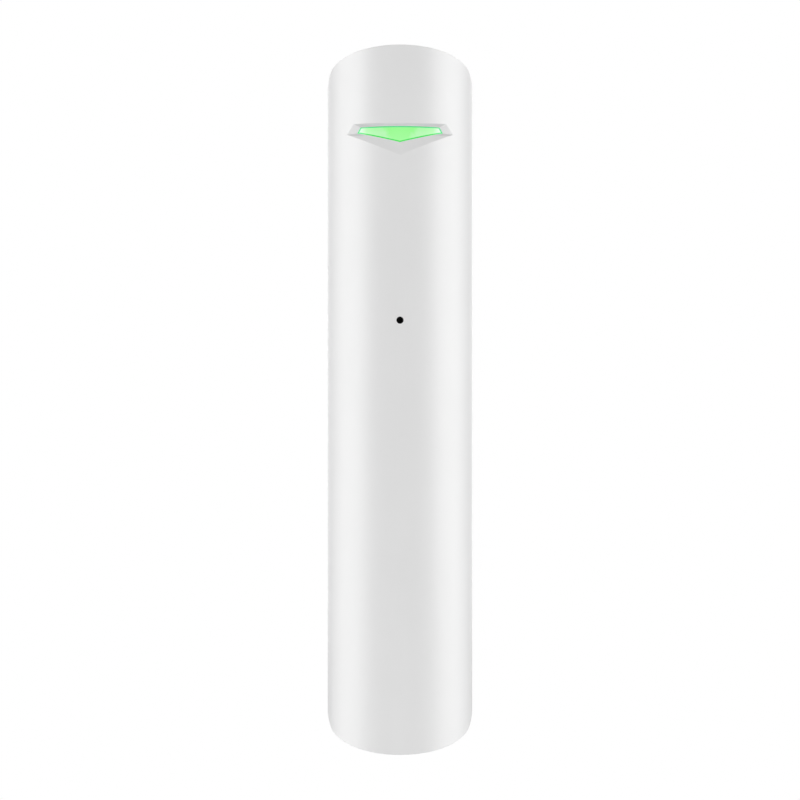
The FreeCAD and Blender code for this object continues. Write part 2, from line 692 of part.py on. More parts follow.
def board_screws():
    """Pan-head screws that hold the board on its two columns."""
    screws = []
    head_rear = BOARD_REAR + SCREW_HEAD_HEIGHT
    for z in screw_places():
        shank = rod(0, z, (BOARD_REAR - SCREW_LENGTH, BOARD_REAR), SCREW_RADIUS)
        head = rod(0, z, (BOARD_REAR, head_rear), SCREW_HEAD_RADIUS)
        rim = [edge for edge in head.Edges if edge.CenterOfMass.y > y_at(head_rear) - BOARD_HOLE_GAP]
        head = head.makeChamfer(SCREW_HEAD_EDGE, rim)
        slot_depths = (head_rear - SCREW_HEAD_HEIGHT / 2, head_rear)
        slot_width = SCREW_RADIUS / 2
        cross = box(span(0, SCREW_HEAD_RADIUS), slot_depths, span(z, slot_width))
        cross = cross.fuse(box(span(0, slot_width), slot_depths, span(z, SCREW_HEAD_RADIUS)))
        screws.append(shank.fuse(head).cut(cross))
    return group(screws)


def microphone_mesh():
    return rod(0, MIC_Z, (MIC_SEAT_DEPTH, MIC_SEAT_DEPTH + MESH_THICKNESS), MESH_RADIUS)


def microphone_boot():
    """Rubber cup that seals the capsule against the housing round the sound hole."""
    front = MIC_SEAT_DEPTH + MESH_THICKNESS
    rear = MIC_FRONT + MIC_LENGTH + BOOT_TAIL
    cup = rod(0, MIC_Z, (front, rear), BOOT_RADIUS)
    cup = cup.cut(rod(0, MIC_Z, (MIC_FRONT, rear + BORE_MARGIN), MIC_RADIUS))
    return cup.cut(rod(0, MIC_Z, (front - BORE_MARGIN, rear), MIC_PORT_RADIUS))


def microphone_capsule():
    rear = MIC_FRONT + MIC_LENGTH
    can = rod(0, MIC_Z, (MIC_FRONT, rear), MIC_RADIUS)
    crimp_depths = (rear - CONTACT_SHEET, rear + BORE_MARGIN)
    crimp = rod(0, MIC_Z, crimp_depths, MIC_RADIUS - CONTACT_SHEET)
    port = rod(0, MIC_Z, (MIC_FRONT - BORE_MARGIN, MIC_FRONT + CONTACT_SHEET), MIC_PORT_RADIUS)
    return can.cut([crimp, port])


def microphone_leads():
    depths = (MIC_FRONT + MIC_LENGTH - CONTACT_SHEET, BOARD_REAR + MIC_PIN_TAIL)
    return group([rod(side * MIC_PIN_X, MIC_Z, depths, MIC_PIN_RADIUS) for side in (-1, 1)])


def battery_cell():
    """Sealed round lithium cell with its raised positive end up."""
    axis = Vec(0, y_at(NOSE_RADIUS), 0)
    shoulder = CELL_TOP - CELL_NUB_HEIGHT
    can = Part.makeCylinder(CELL_RADIUS, shoulder - CELL_BASE, axis + Vec(0, 0, CELL_BASE))
    rims = [edge for edge in can.Edges if isinstance(edge.Curve, Part.Circle)]
    can = can.makeChamfer(CELL_EDGE, rims)
    nub = Part.makeCylinder(CELL_NUB_RADIUS, CELL_NUB_HEIGHT, axis + Vec(0, 0, shoulder))
    return can.fuse(nub)


def half_turn(start_x, end_x, start_z, end_z, wire):
    """Half of a turn of wire: half a ring, tilted so that it climbs from one end to the other."""
    middle = Vec((start_x + end_x) / 2, 0, (start_z + end_z) / 2)
    start = Vec(start_x, 0, start_z)
    corners = []
    for index in range(WIRE_SIDES + 1):
        turn = 2 * math.pi * (index + 0.5) / WIRE_SIDES
        corners.append(start + Vec(math.cos(turn), 0, math.sin(turn)) * (wire / 2))
    heading = Vec(0, math.copysign(1, start_x), 0)
    section = Part.Face(Part.makePolygon(corners))
    return section.revolve(middle, (start - middle).cross(heading), 180)


def coil_along_z(radii, wire, pitch, x, depth, z):
    """Wire wound about an upright axis in half turns, each from one of the radii to the next."""
    pieces = []
    for index in range(len(radii) - 1):
        side = 1 if index % 2 == 0 else -1
        start_z, end_z = (index * pitch / 2, (index + 1) * pitch / 2)
        pieces.append(half_turn(side * radii[index], -side * radii[index + 1], start_z, end_z, wire))
    coil = pieces[0].fuse(pieces[1:])
    coil.rotate(Vec(0, 0, 0), Vec(0, 0, 1), -90)
    coil.translate(Vec(x, y_at(depth), z))
    return coil


def battery_spring():
    """Cone-shaped coil that presses the cell up against the positive contact."""
    slack = CELL_CLEARANCE / 2
    pitch = (SPRING_HEIGHT - SPRING_WIRE - 2 * slack) / SPRING_HALF_TURNS * 2
    step = (SPRING_BASE_RADIUS - SPRING_TOP_RADIUS) / SPRING_HALF_TURNS
    radii = [SPRING_BASE_RADIUS - step * index for index in range(SPRING_HALF_TURNS + 1)]
    base = SPRING_BASE + SPRING_WIRE / 2 + slack
    return coil_along_z(radii, SPRING_WIRE, pitch, 0, NOSE_RADIUS, base)


def battery_negative_contact():
    """Bent strip: a plate under the spring, a long leg up the side wall and a tab on the board."""
    outer = INNER_HALF_WIDTH - STRIP_WALL_GAP
    inner = outer - CONTACT_SHEET
    plate_half = SPRING_BASE_RADIUS + SPRING_WIRE
    strip_depths = (BOARD_REAR, BOARD_REAR + STRIP_WIDTH)
    tab_bottom = BOARD_BASE + BOARD_FLOOR_GAP
    tab_top = tab_bottom + STRIP_TAB_HEIGHT
    plate_depths = (NOSE_RADIUS - plate_half, BOARD_REAR + STRIP_WIDTH)
    plate = box((-plate_half, outer), plate_depths, (NEGATIVE_PLATE, SPRING_BASE))
    plate = plate.common(body_form(SIDE_WALL + STRIP_WALL_GAP, END_WALL, (SIDE_WALL, LEDGE_DEPTH)))
    leg = box((inner, outer), strip_depths, (NEGATIVE_PLATE, tab_top))
    tab_depths = (BOARD_REAR, BOARD_REAR + CONTACT_SHEET)
    tab = box((outer - STRIP_TAB_WIDTH, outer), tab_depths, (tab_bottom, tab_top))
    return plate.fuse([leg, tab]).removeSplitter()


def battery_positive_contact():
    """Bent plate over the cell's raised end, with a tab soldered to the board."""
    rear = BOARD_REAR + CONTACT_SHEET
    left = -CONTACT_TAB_OUTER
    right = CONTACT_HALF_HEIGHT
    plate = box((left, right), (NOSE_RADIUS - CONTACT_HALF_HEIGHT, rear), (CELL_TOP, UPPER_PARTITION))
    tab_top = BOARD_BASE + CONTACT_TAB_OVERLAP
    tab = box((left, left + CONTACT_TAB_WIDTH), (BOARD_REAR, rear), (CELL_TOP, tab_top))
    return plate.fuse(tab).removeSplitter()


def switch_body(x, z, size, height):
    """Square switch housing on the back of the board, open where its stem slides."""
    rear = BOARD_REAR + height
    block = box(span(x, size), (BOARD_REAR, rear), span(z, size))
    bore_depths = (BOARD_REAR + SWITCH_FLOOR, rear + BORE_MARGIN)
    bore = rod(x, z, bore_depths, STEM_RADIUS + STEM_CLEARANCE)
    return block.cut(bore)


def stem_rear():
    return LEDGE_DEPTH - BUTTON_FLANGE_GAP - BUTTON_FLANGE


def switch_stem(x, z, travel):
    front = BOARD_REAR + SWITCH_FLOOR + SWITCH_FLOOR_GAP + travel
    return rod(x, z, (front, stem_rear()), STEM_RADIUS)


def push_button(x, z, tip_depth):
    """Button that slides in the rear cover, kept in by a flange and resting on its switch's stem."""
    shaft = rod(x, z, (stem_rear(), tip_depth), BUTTON_RADIUS)
    rim = [edge for edge in shaft.Edges if edge.CenterOfMass.y > y_at(tip_depth) - BUTTON_CLEARANCE]
    shaft = shaft.makeChamfer(BUTTON_EDGE, rim)
    flange = rod(x, z, (stem_rear(), stem_rear() + BUTTON_FLANGE), BUTTON_FLANGE_RADIUS)
    return shaft.fuse(flange)


def tamper_switch_body():
    return switch_body(0, TAMPER_Z, TAMPER_BODY, TAMPER_BODY_HEIGHT)


def tamper_switch_stem():
    return switch_stem(0, TAMPER_Z, TAMPER_TRAVEL)


def tamper_plunger():
    return push_button(0, TAMPER_Z, BRACKET_FRONT - TAMPER_TIP_GAP)


def pairing_switch_body():
    return switch_body(PAIRING_X, PAIRING_Z, PAIRING_BODY, PAIRING_BODY_HEIGHT)


def pairing_switch_stem():
    return switch_stem(PAIRING_X, PAIRING_Z, PAIRING_TRAVEL)


def pairing_button():
    return push_button(PAIRING_X, PAIRING_Z, BRACKET_FRONT - PAIRING_TIP_GAP)


def shield_z():
    top = LED_Z - SHIELD_BELOW_LED
    return (top - SHIELD_LENGTH, top)


def radio_shield():
    """Drawn sheet-metal lid over the radio parts, open towards the board."""
    bottom, top = shield_z()
    depths = (BOARD_FRONT - SHIELD_HEIGHT, BOARD_FRONT)
    lid = rounded_plate(span(0, SHIELD_WIDTH), (bottom, top), depths, 3 * SHIELD_SHEET)
    inner = box(
        span(0, SHIELD_WIDTH - 2 * SHIELD_SHEET),
        (depths[0] + SHIELD_SHEET, BOARD_FRONT),
        (bottom + SHIELD_SHEET, top - SHIELD_SHEET),
    )
    return lid.cut(inner)


def front_chip(x, z, width, length, height):
    return box(span(x, width), (BOARD_FRONT - height, BOARD_FRONT), span(z, length))


def rear_chip(x, z, width, length, height):
    return box(span(x, width), (BOARD_REAR, BOARD_REAR + height), span(z, length))


def radio_chip():
    return front_chip(RADIO_X, sum(shield_z()) / 2, RADIO_SIZE, RADIO_SIZE, RADIO_HEIGHT)


def crystal_oscillator():
    return front_chip(CRYSTAL_X, sum(shield_z()) / 2, CRYSTAL_WIDTH, CRYSTAL_LENGTH, CRYSTAL_HEIGHT)


def microcontroller_chip():
    return rear_chip(CONTROLLER_X, PAIRING_Z, CONTROLLER_SIZE, CONTROLLER_SIZE, CONTROLLER_HEIGHT)


def audio_amplifier_chip():
    """Small amplifier with four legs on each side."""
    z = BOARD_BASE + AMPLIFIER_RISE
    case = box(
        span(AMPLIFIER_X, AMPLIFIER_WIDTH),
        (BOARD_REAR + LEG_THICKNESS / 2, BOARD_REAR + AMPLIFIER_HEIGHT),
        span(z, AMPLIFIER_LENGTH),
    )
    legs = []
    for row in range(4):
        leg_z = z + (row - 1.5) * LEG_PITCH
        width = AMPLIFIER_WIDTH + 2 * LEG_LENGTH
        legs.append(rear_chip(AMPLIFIER_X, leg_z, width, LEG_WIDTH, LEG_THICKNESS))
    return case.fuse(legs)


def reservoir_capacitor():
    """Aluminium can on the front of the board, with the groove that seals its foot."""
    z = MIC_Z + MIC_RING_RADIUS + CAPACITOR_GAP + CAPACITOR_RADIUS
    top = BOARD_FRONT - CAPACITOR_HEIGHT
    groove = BOARD_FRONT - CAPACITOR_FOOT
    neck = CAPACITOR_RADIUS - CAPACITOR_EDGE
    profile = [
        (0, top),
        (neck, top),
        (CAPACITOR_RADIUS, top + CAPACITOR_EDGE),
        (CAPACITOR_RADIUS, groove - CAPACITOR_EDGE),
        (neck, groove),
        (CAPACITOR_RADIUS, groove + CAPACITOR_EDGE),
        (CAPACITOR_RADIUS, BOARD_FRONT),
        (0, BOARD_FRONT),
    ]
    points = [Vec(radius, y_at(depth), z) for radius, depth in profile]
    return Part.Face(Part.makePolygon(points + points[:1])).revolve(Vec(0, 0, z), Vec(0, 1, 0), 360)


def chip_rows(column, rises, height):
    """Small two-ended chips on the back of the board, in two mirrored columns."""
    chips = []
    for rise in rises:
        z = BOARD_BASE + rise
        chips += [rear_chip(side * column, z, CHIP_WIDTH, CHIP_LENGTH, height) for side in (-1, 1)]
    return group(chips)


def chip_capacitors():
    return chip_rows(CHIP_OUTER_COLUMN, [CHIP_LOWER_RISE, CHIP_UPPER_RISE], CHIP_CAPACITOR_HEIGHT)


def chip_resistors():
    return chip_rows(CHIP_INNER_COLUMN, [CHIP_LOWER_RISE, CHIP_UPPER_RISE], CHIP_RESISTOR_HEIGHT)


def antenna_coil():
    """Wound antenna that lies on the back of the board, with a soldered foot at each end."""
    reach = COIL_RADIUS + COIL_WIRE / 2
    depth = BOARD_REAR + COIL_LIFT + reach
    z = BOARD_BASE + COIL_RISE
    coil = coil_along_z([COIL_RADIUS] * (2 * COIL_TURNS + 1), COIL_WIRE, COIL_PITCH, 0, depth, z)
    feet = [
        rear_chip(0, end_z, COIL_WIRE, COIL_WIRE, COIL_LIFT + COIL_WIRE / 2)
        for end_z in (z, z + COIL_PITCH * COIL_TURNS)
    ]
    return coil.fuse(feet)


NODES = [
    front_housing,
    rear_cover,
    mounting_bracket,
    indicator_light_guide,
    light_shroud,
    indicator_leds,
    main_board,
    board_screws,
    microphone_mesh,
    microphone_boot,
    microphone_capsule,
    microphone_leads,
    battery_cell,
    battery_spring,
    battery_negative_contact,
    battery_positive_contact,
    tamper_switch_body,
    tamper_switch_stem,
    tamper_plunger,
    pairing_switch_body,
    pairing_switch_stem,
    pairing_button,
    radio_shield,
    radio_chip,
    crystal_oscillator,
    microcontroller_chip,
    audio_amplifier_chip,
    reservoir_capacitor,
    chip_capacitors,
    chip_resistors,
    antenna_coil,
]


def main():
    os.makedirs("parts", exist_ok=True)
    for make in NODES:
        shape = make()
        shape.exportStep(os.path.join("parts", make.__name__ + ".step"))
        print(make.__name__, len(shape.Solids), "solid", round(shape.Volume, 1), "mm3", shape.isValid())


main()
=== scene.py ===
import math

import bmesh
import bpy
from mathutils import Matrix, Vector


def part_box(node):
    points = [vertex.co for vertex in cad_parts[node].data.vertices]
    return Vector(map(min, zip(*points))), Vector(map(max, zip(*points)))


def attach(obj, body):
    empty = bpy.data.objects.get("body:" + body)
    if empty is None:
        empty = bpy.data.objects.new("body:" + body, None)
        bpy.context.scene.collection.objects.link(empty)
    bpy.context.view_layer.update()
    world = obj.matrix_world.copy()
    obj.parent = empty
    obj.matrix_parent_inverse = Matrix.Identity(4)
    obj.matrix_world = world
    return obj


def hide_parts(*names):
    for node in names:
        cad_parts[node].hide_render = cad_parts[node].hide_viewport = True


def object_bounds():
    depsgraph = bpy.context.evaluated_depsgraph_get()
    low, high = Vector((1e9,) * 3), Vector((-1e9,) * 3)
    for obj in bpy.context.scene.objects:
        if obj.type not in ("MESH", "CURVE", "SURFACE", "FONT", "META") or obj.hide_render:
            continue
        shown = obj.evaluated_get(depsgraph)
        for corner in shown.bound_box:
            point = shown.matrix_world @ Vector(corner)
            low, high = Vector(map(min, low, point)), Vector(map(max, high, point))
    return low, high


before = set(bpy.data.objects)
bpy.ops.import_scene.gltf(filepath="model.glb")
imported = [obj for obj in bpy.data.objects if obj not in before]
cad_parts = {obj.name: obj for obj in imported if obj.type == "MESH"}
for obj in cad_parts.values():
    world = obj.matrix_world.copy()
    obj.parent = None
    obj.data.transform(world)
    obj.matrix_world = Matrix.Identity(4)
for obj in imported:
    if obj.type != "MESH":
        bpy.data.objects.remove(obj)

CAD_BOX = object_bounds()
MM = 0.001

# Camera: level and square to the front, at the distance and focal length that the photograph's perspective
# gives, with its distance, drop and clip in metres and its sensor's width in millimetres
PICTURE_SIDE = 800
FOCAL_LENGTH_PIXELS = 2310.7
SENSOR_WIDTH = 36.0
CAMERA_DISTANCE = 0.3213
CAMERA_DROP = 0.00003
CAMERA_CLIP = 0.01

# How soft most of the edges are that the materials draw, in millimetres
FINE_BLUR = 0.01
BLUR = 0.02
SOFT_BLUR = 0.03

# Indicator lens, in millimetres: the right half of its outline as (x, z), from the middle of its top edge
LENS_TOP_Z = 35.63
LENS_SIDE_Z = 34.85
LENS_OUTLINE = ((0.0, LENS_TOP_Z), (5.15, LENS_TOP_Z), (5.60, LENS_SIDE_Z), (0.0, 33.49))
LENS_EDGE_WIDTH = 0.025
LENS_RIM_WIDTH = 0.18

# Colours of the lens. The starts are stretches in millimetres from its middle, over which it turns pale and
# its corners almost white, at a cloudy border that comes nearer to the middle further down. The top and the
# foot fade over stretches down from its top edge, and the rim's colour over a stretch of z. The rim is darker
# at the top with painted shade from the facet above, and the edge along the lower sides glows in the grey of
# lit housing plastic, a painted light.
LENS_GREEN = (0.275, 0.89, 0.24, 1.0)
LENS_PALE = (0.46, 0.89, 0.45, 1.0)
LENS_CORNER = (0.68, 0.90, 0.69, 1.0)
LENS_RIM_TOP_SHADED = (0.04, 0.74, 0.23, 1.0)
LENS_RIM_LOW = (0.0, 0.70, 0.05, 1.0)
LENS_EDGE_PAINTED_LIGHT = (0.64, 0.65, 0.64, 1.0)
LENS_BODY = (0.02, 0.05, 0.02, 1.0)
LENS_PALE_START = (2.65, 3.45)
LENS_CORNER_START = (4.35, 5.15)
LENS_CLOUD_GRAIN = 0.7
LENS_CLOUD_REACH = 1.6
LENS_CLOUD_SLOPE = 0.7
LENS_TOP_PALENESS = 0.45
LENS_TOP_FADE = (0.0, 0.9)
LENS_FOOT_PALENESS = 0.3
LENS_FOOT_FADE = (0.2, 2.0)
LENS_RIM_FADE = (LENS_SIDE_Z - 0.2, LENS_SIDE_Z + 0.1)

# Pocket round the lens, in millimetres: the right half of its rim as (x, z), from the middle of its top edge,
# and the painted light and shade of its facets, as factors on the housing's colour: painted shade on the top
# facet, darkest towards its ends, and in a strip at each side corner, and painted light on the side and lower
# facets, with the stretches of x over which two of them change
POCKET_RIM = ((0.0, 35.93), (6.05, 36.05), (6.96, 34.76), (0.0, 31.83))
SHADE_STRIP_FOOT = 34.53
TOP_FACET_BLUR = 0.05
TOP_FACET_PAINTED_SHADE = (1.02, 0.84)
TOP_FACET_SHADE_FADE = (1.8, 5.2)
SIDE_FACET_PAINTED_LIGHT = 1.03
CORNER_STRIP_PAINTED_SHADE = 0.88
LOW_FACET_PAINTED_LIGHT = (1.025, 1.05)
LOW_FACET_LIGHT_FADE = (3.0, 5.5)

# Sound hole, in millimetres, and how far past its edge the black painted on its wall as shade goes
SOUND_HOLE_RADIUS = 0.44
SOUND_HOLE_SHADE_MARGIN = 0.02

# Moulded plastic: its darker tone, the grains in millimetres of its uneven tone and gloss, and the spread
# of its roughness to each side
PLASTIC_DARKER = 0.975
PLASTIC_TONE_GRAIN = 9.0
PLASTIC_GLOSS_GRAIN = 3.0
PLASTIC_GLOSS_SPREAD = 0.02

# The stretch that nearly all the values of a noise lie in, and those over which bloom, dust and blotches show
NOISE_RANGE = (0.3, 0.7)
BLOOM_RANGE = (0.45, 0.75)
DUST_RANGE = (0.5, 0.8)
BLOTCH_RANGE = (0.35, 0.7)

# Plated metal: how closely its drawing marks follow each other along x, y and z, and the grain in
# millimetres and the tone of its blotches
METAL_MARKS = (1.0, 1.0, 12.0)
METAL_BLOTCH_GRAIN = 1.6
METAL_BLOTCH_TONE = 0.86

# Small chips, lamps and their marks, in millimetres. The dent of a pin dot is in depths of the texture.
CHIP_HALF_LENGTH = 0.8
CHIP_BODY_HALF_LENGTH = 0.5
CHIP_BODY_BLUR = 0.05
CHIP_WIDTH = 0.8
AMPLIFIER_CASE_WIDTH = 3.9
PIN_DOT_RADIUS = 0.3
PIN_DOT_DENT = 6.0
CONTROLLER_DOT_INSET = (0.85, 0.85)
AMPLIFIER_DOT_INSET = (1.5, 0.75)
LAMP_DOME_DEPTH = 0.3
LAMP_DOME_BLUR = 0.1
TIN = (0.72, 0.72, 0.72, 1.0)

# Battery cell's sleeve, in millimetres from its ends and its axis
CELL_BAND_TOP = 3.0
CELL_BAND_FOOT = 7.5
CELL_BAND_BLUR = 0.05
CELL_END_RIM = 1.05
CELL_BARE_RADIUS = 6.9
CELL_BARE_BLUR = 0.1
PLUS_HALF_LENGTH = 1.0
PLUS_HALF_WIDTH = 0.22
PLUS_BLUR = 0.04

# Acoustic cloth and the surface of the circuit board, in millimetres
MESH_PITCH = 0.24
TRACK_PITCH = 0.9
TRACK_WIDTH = 0.22
TRACK_REPEAT = 7.0
TRACK_JOG = (2.5, 4.5)
TRACK_REGION = 5.0
VIA_SPACING = 2.6
VIA_RADIUS = 0.17
VIA_BLUR = 0.026
PRINT_CLEARANCE = 0.3
PRINT_WIDTH = 0.13

# Levels of a noise under which the board has upright tracks and level tracks, and over which it has a copper
# pour, and where its bare edges end, by how far a face is turned to the front or the back
UPRIGHT_TRACKS_UNDER = 0.505
LEVEL_TRACKS_UNDER = 0.445
POUR_OVER = 0.55
REGION_BLUR = 0.005
EDGE_TURN = (0.3, 0.6)

# Parts of the board that have a white printed outline round them, on its front and on its back
PRINTED_FRONT = ("indicator_leds", "radio_shield")
PRINTED_BACK = (
    "tamper_switch_body",
    "pairing_switch_body",
    "microcontroller_chip",
    "audio_amplifier_chip",
    "antenna_coil",
)

# Round wire of the battery's spring and of the antenna coil, in millimetres, and the angles in radians of the
# rings that round its ends
WIRE_SIDES = 14
WIRE_END_TURNS = (1.4, 0.9, 0.4)
HALF_TURN_STEPS = 18
SPRING_WIRE = 0.7
SPRING_RADII = (4.6, 4.1, 3.6, 3.1, 2.6)
SPRING_GAP = 0.05
CONTACT_SHEET = 0.3
COIL_WIRE = 0.6
COIL_RADII = (2.0,) * 7
COIL_LIFT = 0.1

# Solder on the back of the board, in millimetres: round the microphone's pins and the coil's legs, and over
# the inner ends of the two battery contacts' tabs, with half the width and height of each of those two
SOLDER_SIDES = 24
SOLDER_STEPS = 6
SOLDER_SPREAD = 0.4
SOLDER_SINK = 0.01
SOLDER_OVERLAP = 0.02
PIN_RADIUS = 0.25
PIN_SOLDER_RISE = 0.48
LEG_SOLDER_RISE = 0.36
TAB_SOLDER_RISE = 0.5
NEGATIVE_TAB = (2.2, 1.8)
NEGATIVE_SOLDER = (0.6, 0.75)
POSITIVE_TAB_WIDTH = 2.6
POSITIVE_SOLDER = (1.0, 0.6)

# Studio: soft boxes round the object, each as its bearing from the camera's direction and its height angle,
# both in degrees, its width and height in metres and its power in watts
BOX_DISTANCE = 0.7
SOFT_BOXES = (
    (-65, 10, 0.2, 0.5, 1.12),
    (65, 10, 0.2, 0.5, 1.09),
    (-80, 5, 0.2, 0.7, 1.18),
    (80, 5, 0.2, 0.7, 1.12),
    (-100, 8, 0.35, 0.6, 1.20),
    (100, 8, 0.35, 0.6, 1.34),
    (0, 20, 0.4, 0.25, 0.59),
    (0, -20, 0.4, 0.25, 0.84),
    (0, -50, 0.4, 0.25, 1.50),
    (180, 15, 0.4, 0.6, 1.8),
    (180, 80, 0.4, 0.4, 0.8),
)
AMBIENT = 0.272

# Floor, in metres, and the shares of its radius between which it fades
FLOOR_DROP = 0.35
FLOOR_RADIUS = 1.2
FLOOR_SIDES = 128
FLOOR_FADE = (0.3, 0.95)


class Surface:
    """A Principled material. Each input is given as a value or as another node's output."""

    def __init__(self, name):
        self.material = bpy.data.materials.new(name)
        self.material.use_nodes = True
        self.tree = self.material.node_tree
        self.shader = self.tree.nodes["Principled BSDF"]
        self.place = self.node("ShaderNodeTexCoord").outputs["Object"]

    def give(self, node, inputs):
        for key, value in inputs.items():
            socket = node.inputs[key]
            if isinstance(value, bpy.types.NodeSocket):
                self.tree.links.new(value, socket)
            else:
                socket.default_value = value

    def node(self, kind, inputs=None, **settings):
        made = self.tree.nodes.new(kind)
        for key, value in settings.items():
            setattr(made, key, value)
        self.give(made, inputs or {})
        return made

    def math(self, operation, first, second=0.0, third=0.0):
        return self.node("ShaderNodeMath", {0: first, 1: second, 2: third}, operation=operation).outputs[0]

    def split(self):
        """x, y and z of a point of the surface, in millimetres."""
        axes = self.node("ShaderNodeSeparateXYZ", {0: self.place}).outputs
        return [self.math("MULTIPLY", axes[name], 1 / MM) for name in ("X", "Y", "Z")]

    def away_from(self, value, middle):
        return self.math("ABSOLUTE", self.math("SUBTRACT", value, middle))

    def hypotenuse(self, first, second):
        square = self.math("MULTIPLY_ADD", first, first, self.math("MULTIPLY", second, second))
        return self.math("SQRT", square)

    def least(self, values):
        """The lowest of several values."""
        lowest = values[0]
        for value in values[1:]:
            lowest = self.math("MINIMUM", lowest, value)
        return lowest

    def product(self, *values):
        """Several values multiplied together, which is 1 only where all of them are."""
        result = values[0]
        for value in values[1:]:
            result = self.math("MULTIPLY", result, value)
        return result

    def between(self, value, low, high, to_low=0.0, to_high=1.0):
        """A value's way from low to high, stretched to another range and held at its ends."""
        inputs = {0: value, 1: low, 2: high, 3: to_low, 4: to_high}
        return self.node("ShaderNodeMapRange", inputs).outputs[0]

    def over(self, value, edge, blur):
        """0 where a value is under an edge and 1 over it, with a blur to both sides of the edge."""
        return self.between(value, edge - blur, edge + blur)

    def under(self, value, edge, blur):
        """1 where a value is under an edge and 0 over it, with a blur to both sides of the edge."""
        return self.between(value, edge - blur, edge + blur, 1.0, 0.0)

    def past(self, value, limit, blur):
        """0 up to a limit and 1 past it, with a blur that starts at the limit."""
        return self.between(value, limit, limit + blur)

    def within(self, value, limit, blur):
        """1 up to a limit and 0 past it, with a blur that starts at the limit."""
        return self.between(value, limit, limit + blur, 1.0, 0.0)

    def noise(self, grain_mm, detail=2.0, place=None):
        scale = 1 / (grain_mm * MM)
        inputs = {"Vector": place or self.place, "Scale": scale, "Detail": detail}
        return self.node("ShaderNodeTexNoise", inputs).outputs["Fac"]

    def mix(self, factor, first, second):
        """From the first of two colours to the second."""
        made = self.node("ShaderNodeMix", data_type="RGBA")
        self.give(made, {0: factor, 6: first, 7: second})
        return made.outputs[2]

    def blend(self, factor, first, second):
        """From the first of two plain values to the second."""
        return self.node("ShaderNodeMix", {0: factor, 2: first, 3: second}, data_type="FLOAT").outputs[0]

    def scaled(self, colour, factor):
        inputs = {0: colour, "Scale": factor}
        return self.node("ShaderNodeVectorMath", inputs, operation="SCALE").outputs[0]

    def bump(self, height, depth_mm, strength=1.0):
        inputs = {"Height": height, "Distance": depth_mm * MM, "Strength": strength}
        normal = self.node("ShaderNodeBump", inputs).outputs["Normal"]
        self.give(self.shader, {"Normal": normal})


def grey(value):
    return (value, value, value, 1.0)


def shaded(colour, factor):
    """A darker version of a colour."""
    return tuple(factor * part for part in colour[:3]) + (1.0,)


def box_mm(node):
    """A node's lowest and highest corners, in millimetres."""
    return [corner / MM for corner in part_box(node)]


def side_distances(surface, across, up, outline):
    """Distance in mm inwards from each side of an outline whose right half is given, seen from the front."""
    distances = []
    for (x, z), (next_x, next_z) in zip(outline, outline[1:]):
        length = math.hypot(next_x - x, next_z - z)
        normal_x, normal_z = (z - next_z) / length, (next_x - x) / length
        inside = surface.math("MULTIPLY_ADD", across, -normal_x, normal_x * x + normal_z * z)
        distances.append(surface.math("MULTIPLY_ADD", up, -normal_z, inside))
    return distances


def pocket_painted_shade(surface, x, up):
    """Painted light and shade of the window pocket: painted shade above the lens and in a strip at each side
    corner, and painted light below.
    """
    across = surface.math("ABSOLUTE", x)
    lens_top, lens_side = LENS_OUTLINE[1:3]
    rim_top, rim_side = POCKET_RIM[1:3]
    (past_top_crease,) = side_distances(surface, across, up, (lens_top, rim_top))
    (past_side_crease,) = side_distances(surface, across, up, (lens_side, rim_side))
    above_lens = surface.past(up, LENS_SIDE_Z, TOP_FACET_BLUR)
    # Painted shade on the top facet, darkest towards its ends
    top = surface.product(surface.under(past_top_crease, 0, SOFT_BLUR), above_lens)
    top_facet_shade = surface.between(across, *TOP_FACET_SHADE_FADE, *TOP_FACET_PAINTED_SHADE)
    # Painted shade in a strip at each side corner, over painted light on the lower facets
    strip = surface.over(up, SHADE_STRIP_FOOT, SOFT_BLUR)
    low_facet_light_and_shade = surface.between(across, *LOW_FACET_LIGHT_FADE, *LOW_FACET_PAINTED_LIGHT)
    low_facet_light_and_shade = surface.blend(strip, low_facet_light_and_shade, CORNER_STRIP_PAINTED_SHADE)
    # Painted light on the side facets
    tone = surface.blend(surface.over(past_side_crease, 0, SOFT_BLUR), SIDE_FACET_PAINTED_LIGHT, low_facet_light_and_shade)
    tone = surface.blend(top, tone, top_facet_shade)
    from_rim = surface.least(side_distances(surface, across, up, POCKET_RIM))
    return surface.blend(surface.over(from_rim, 0, BLUR), 1.0, tone)


def housing_painted_shade(surface):
    """Painted shade of the front housing: the painted light and shade of its window pocket, and black painted
    as shade on the wall of the sound hole.
    """
    x, _, z = surface.split()
    low, high = box_mm("microphone_mesh")
    above = surface.math("SUBTRACT", z, (low.z + high.z) / 2)
    from_middle = surface.hypotenuse(above, x)
    # Black painted on the wall of the sound hole as the shade inside it
    outside = surface.past(from_middle, SOUND_HOLE_RADIUS + SOUND_HOLE_SHADE_MARGIN, FINE_BLUR)
    return surface.product(outside, pocket_painted_shade(surface, x, z))


def moulded_plastic(name, colour, roughness, grain_mm, depth_mm, painted_shade_of=None):
    """Moulded plastic with a spark-eroded grain and slight unevenness of tone, and painted light and shade
    where a function for them is given.
    """
    surface = Surface(name)
    tone = surface.mix(surface.noise(PLASTIC_TONE_GRAIN), shaded(colour, PLASTIC_DARKER), colour)
    if painted_shade_of:
        # Painted light and shade scale the tone, where given
        tone = surface.scaled(tone, painted_shade_of(surface))
    glossiest, dullest = roughness - PLASTIC_GLOSS_SPREAD, roughness + PLASTIC_GLOSS_SPREAD
    gloss = surface.between(surface.noise(PLASTIC_GLOSS_GRAIN), *NOISE_RANGE, glossiest, dullest)
    surface.give(surface.shader, {"Base Color": tone, "Roughness": gloss})
    surface.bump(surface.noise(grain_mm, detail=3.0), depth_mm)
    return surface.material


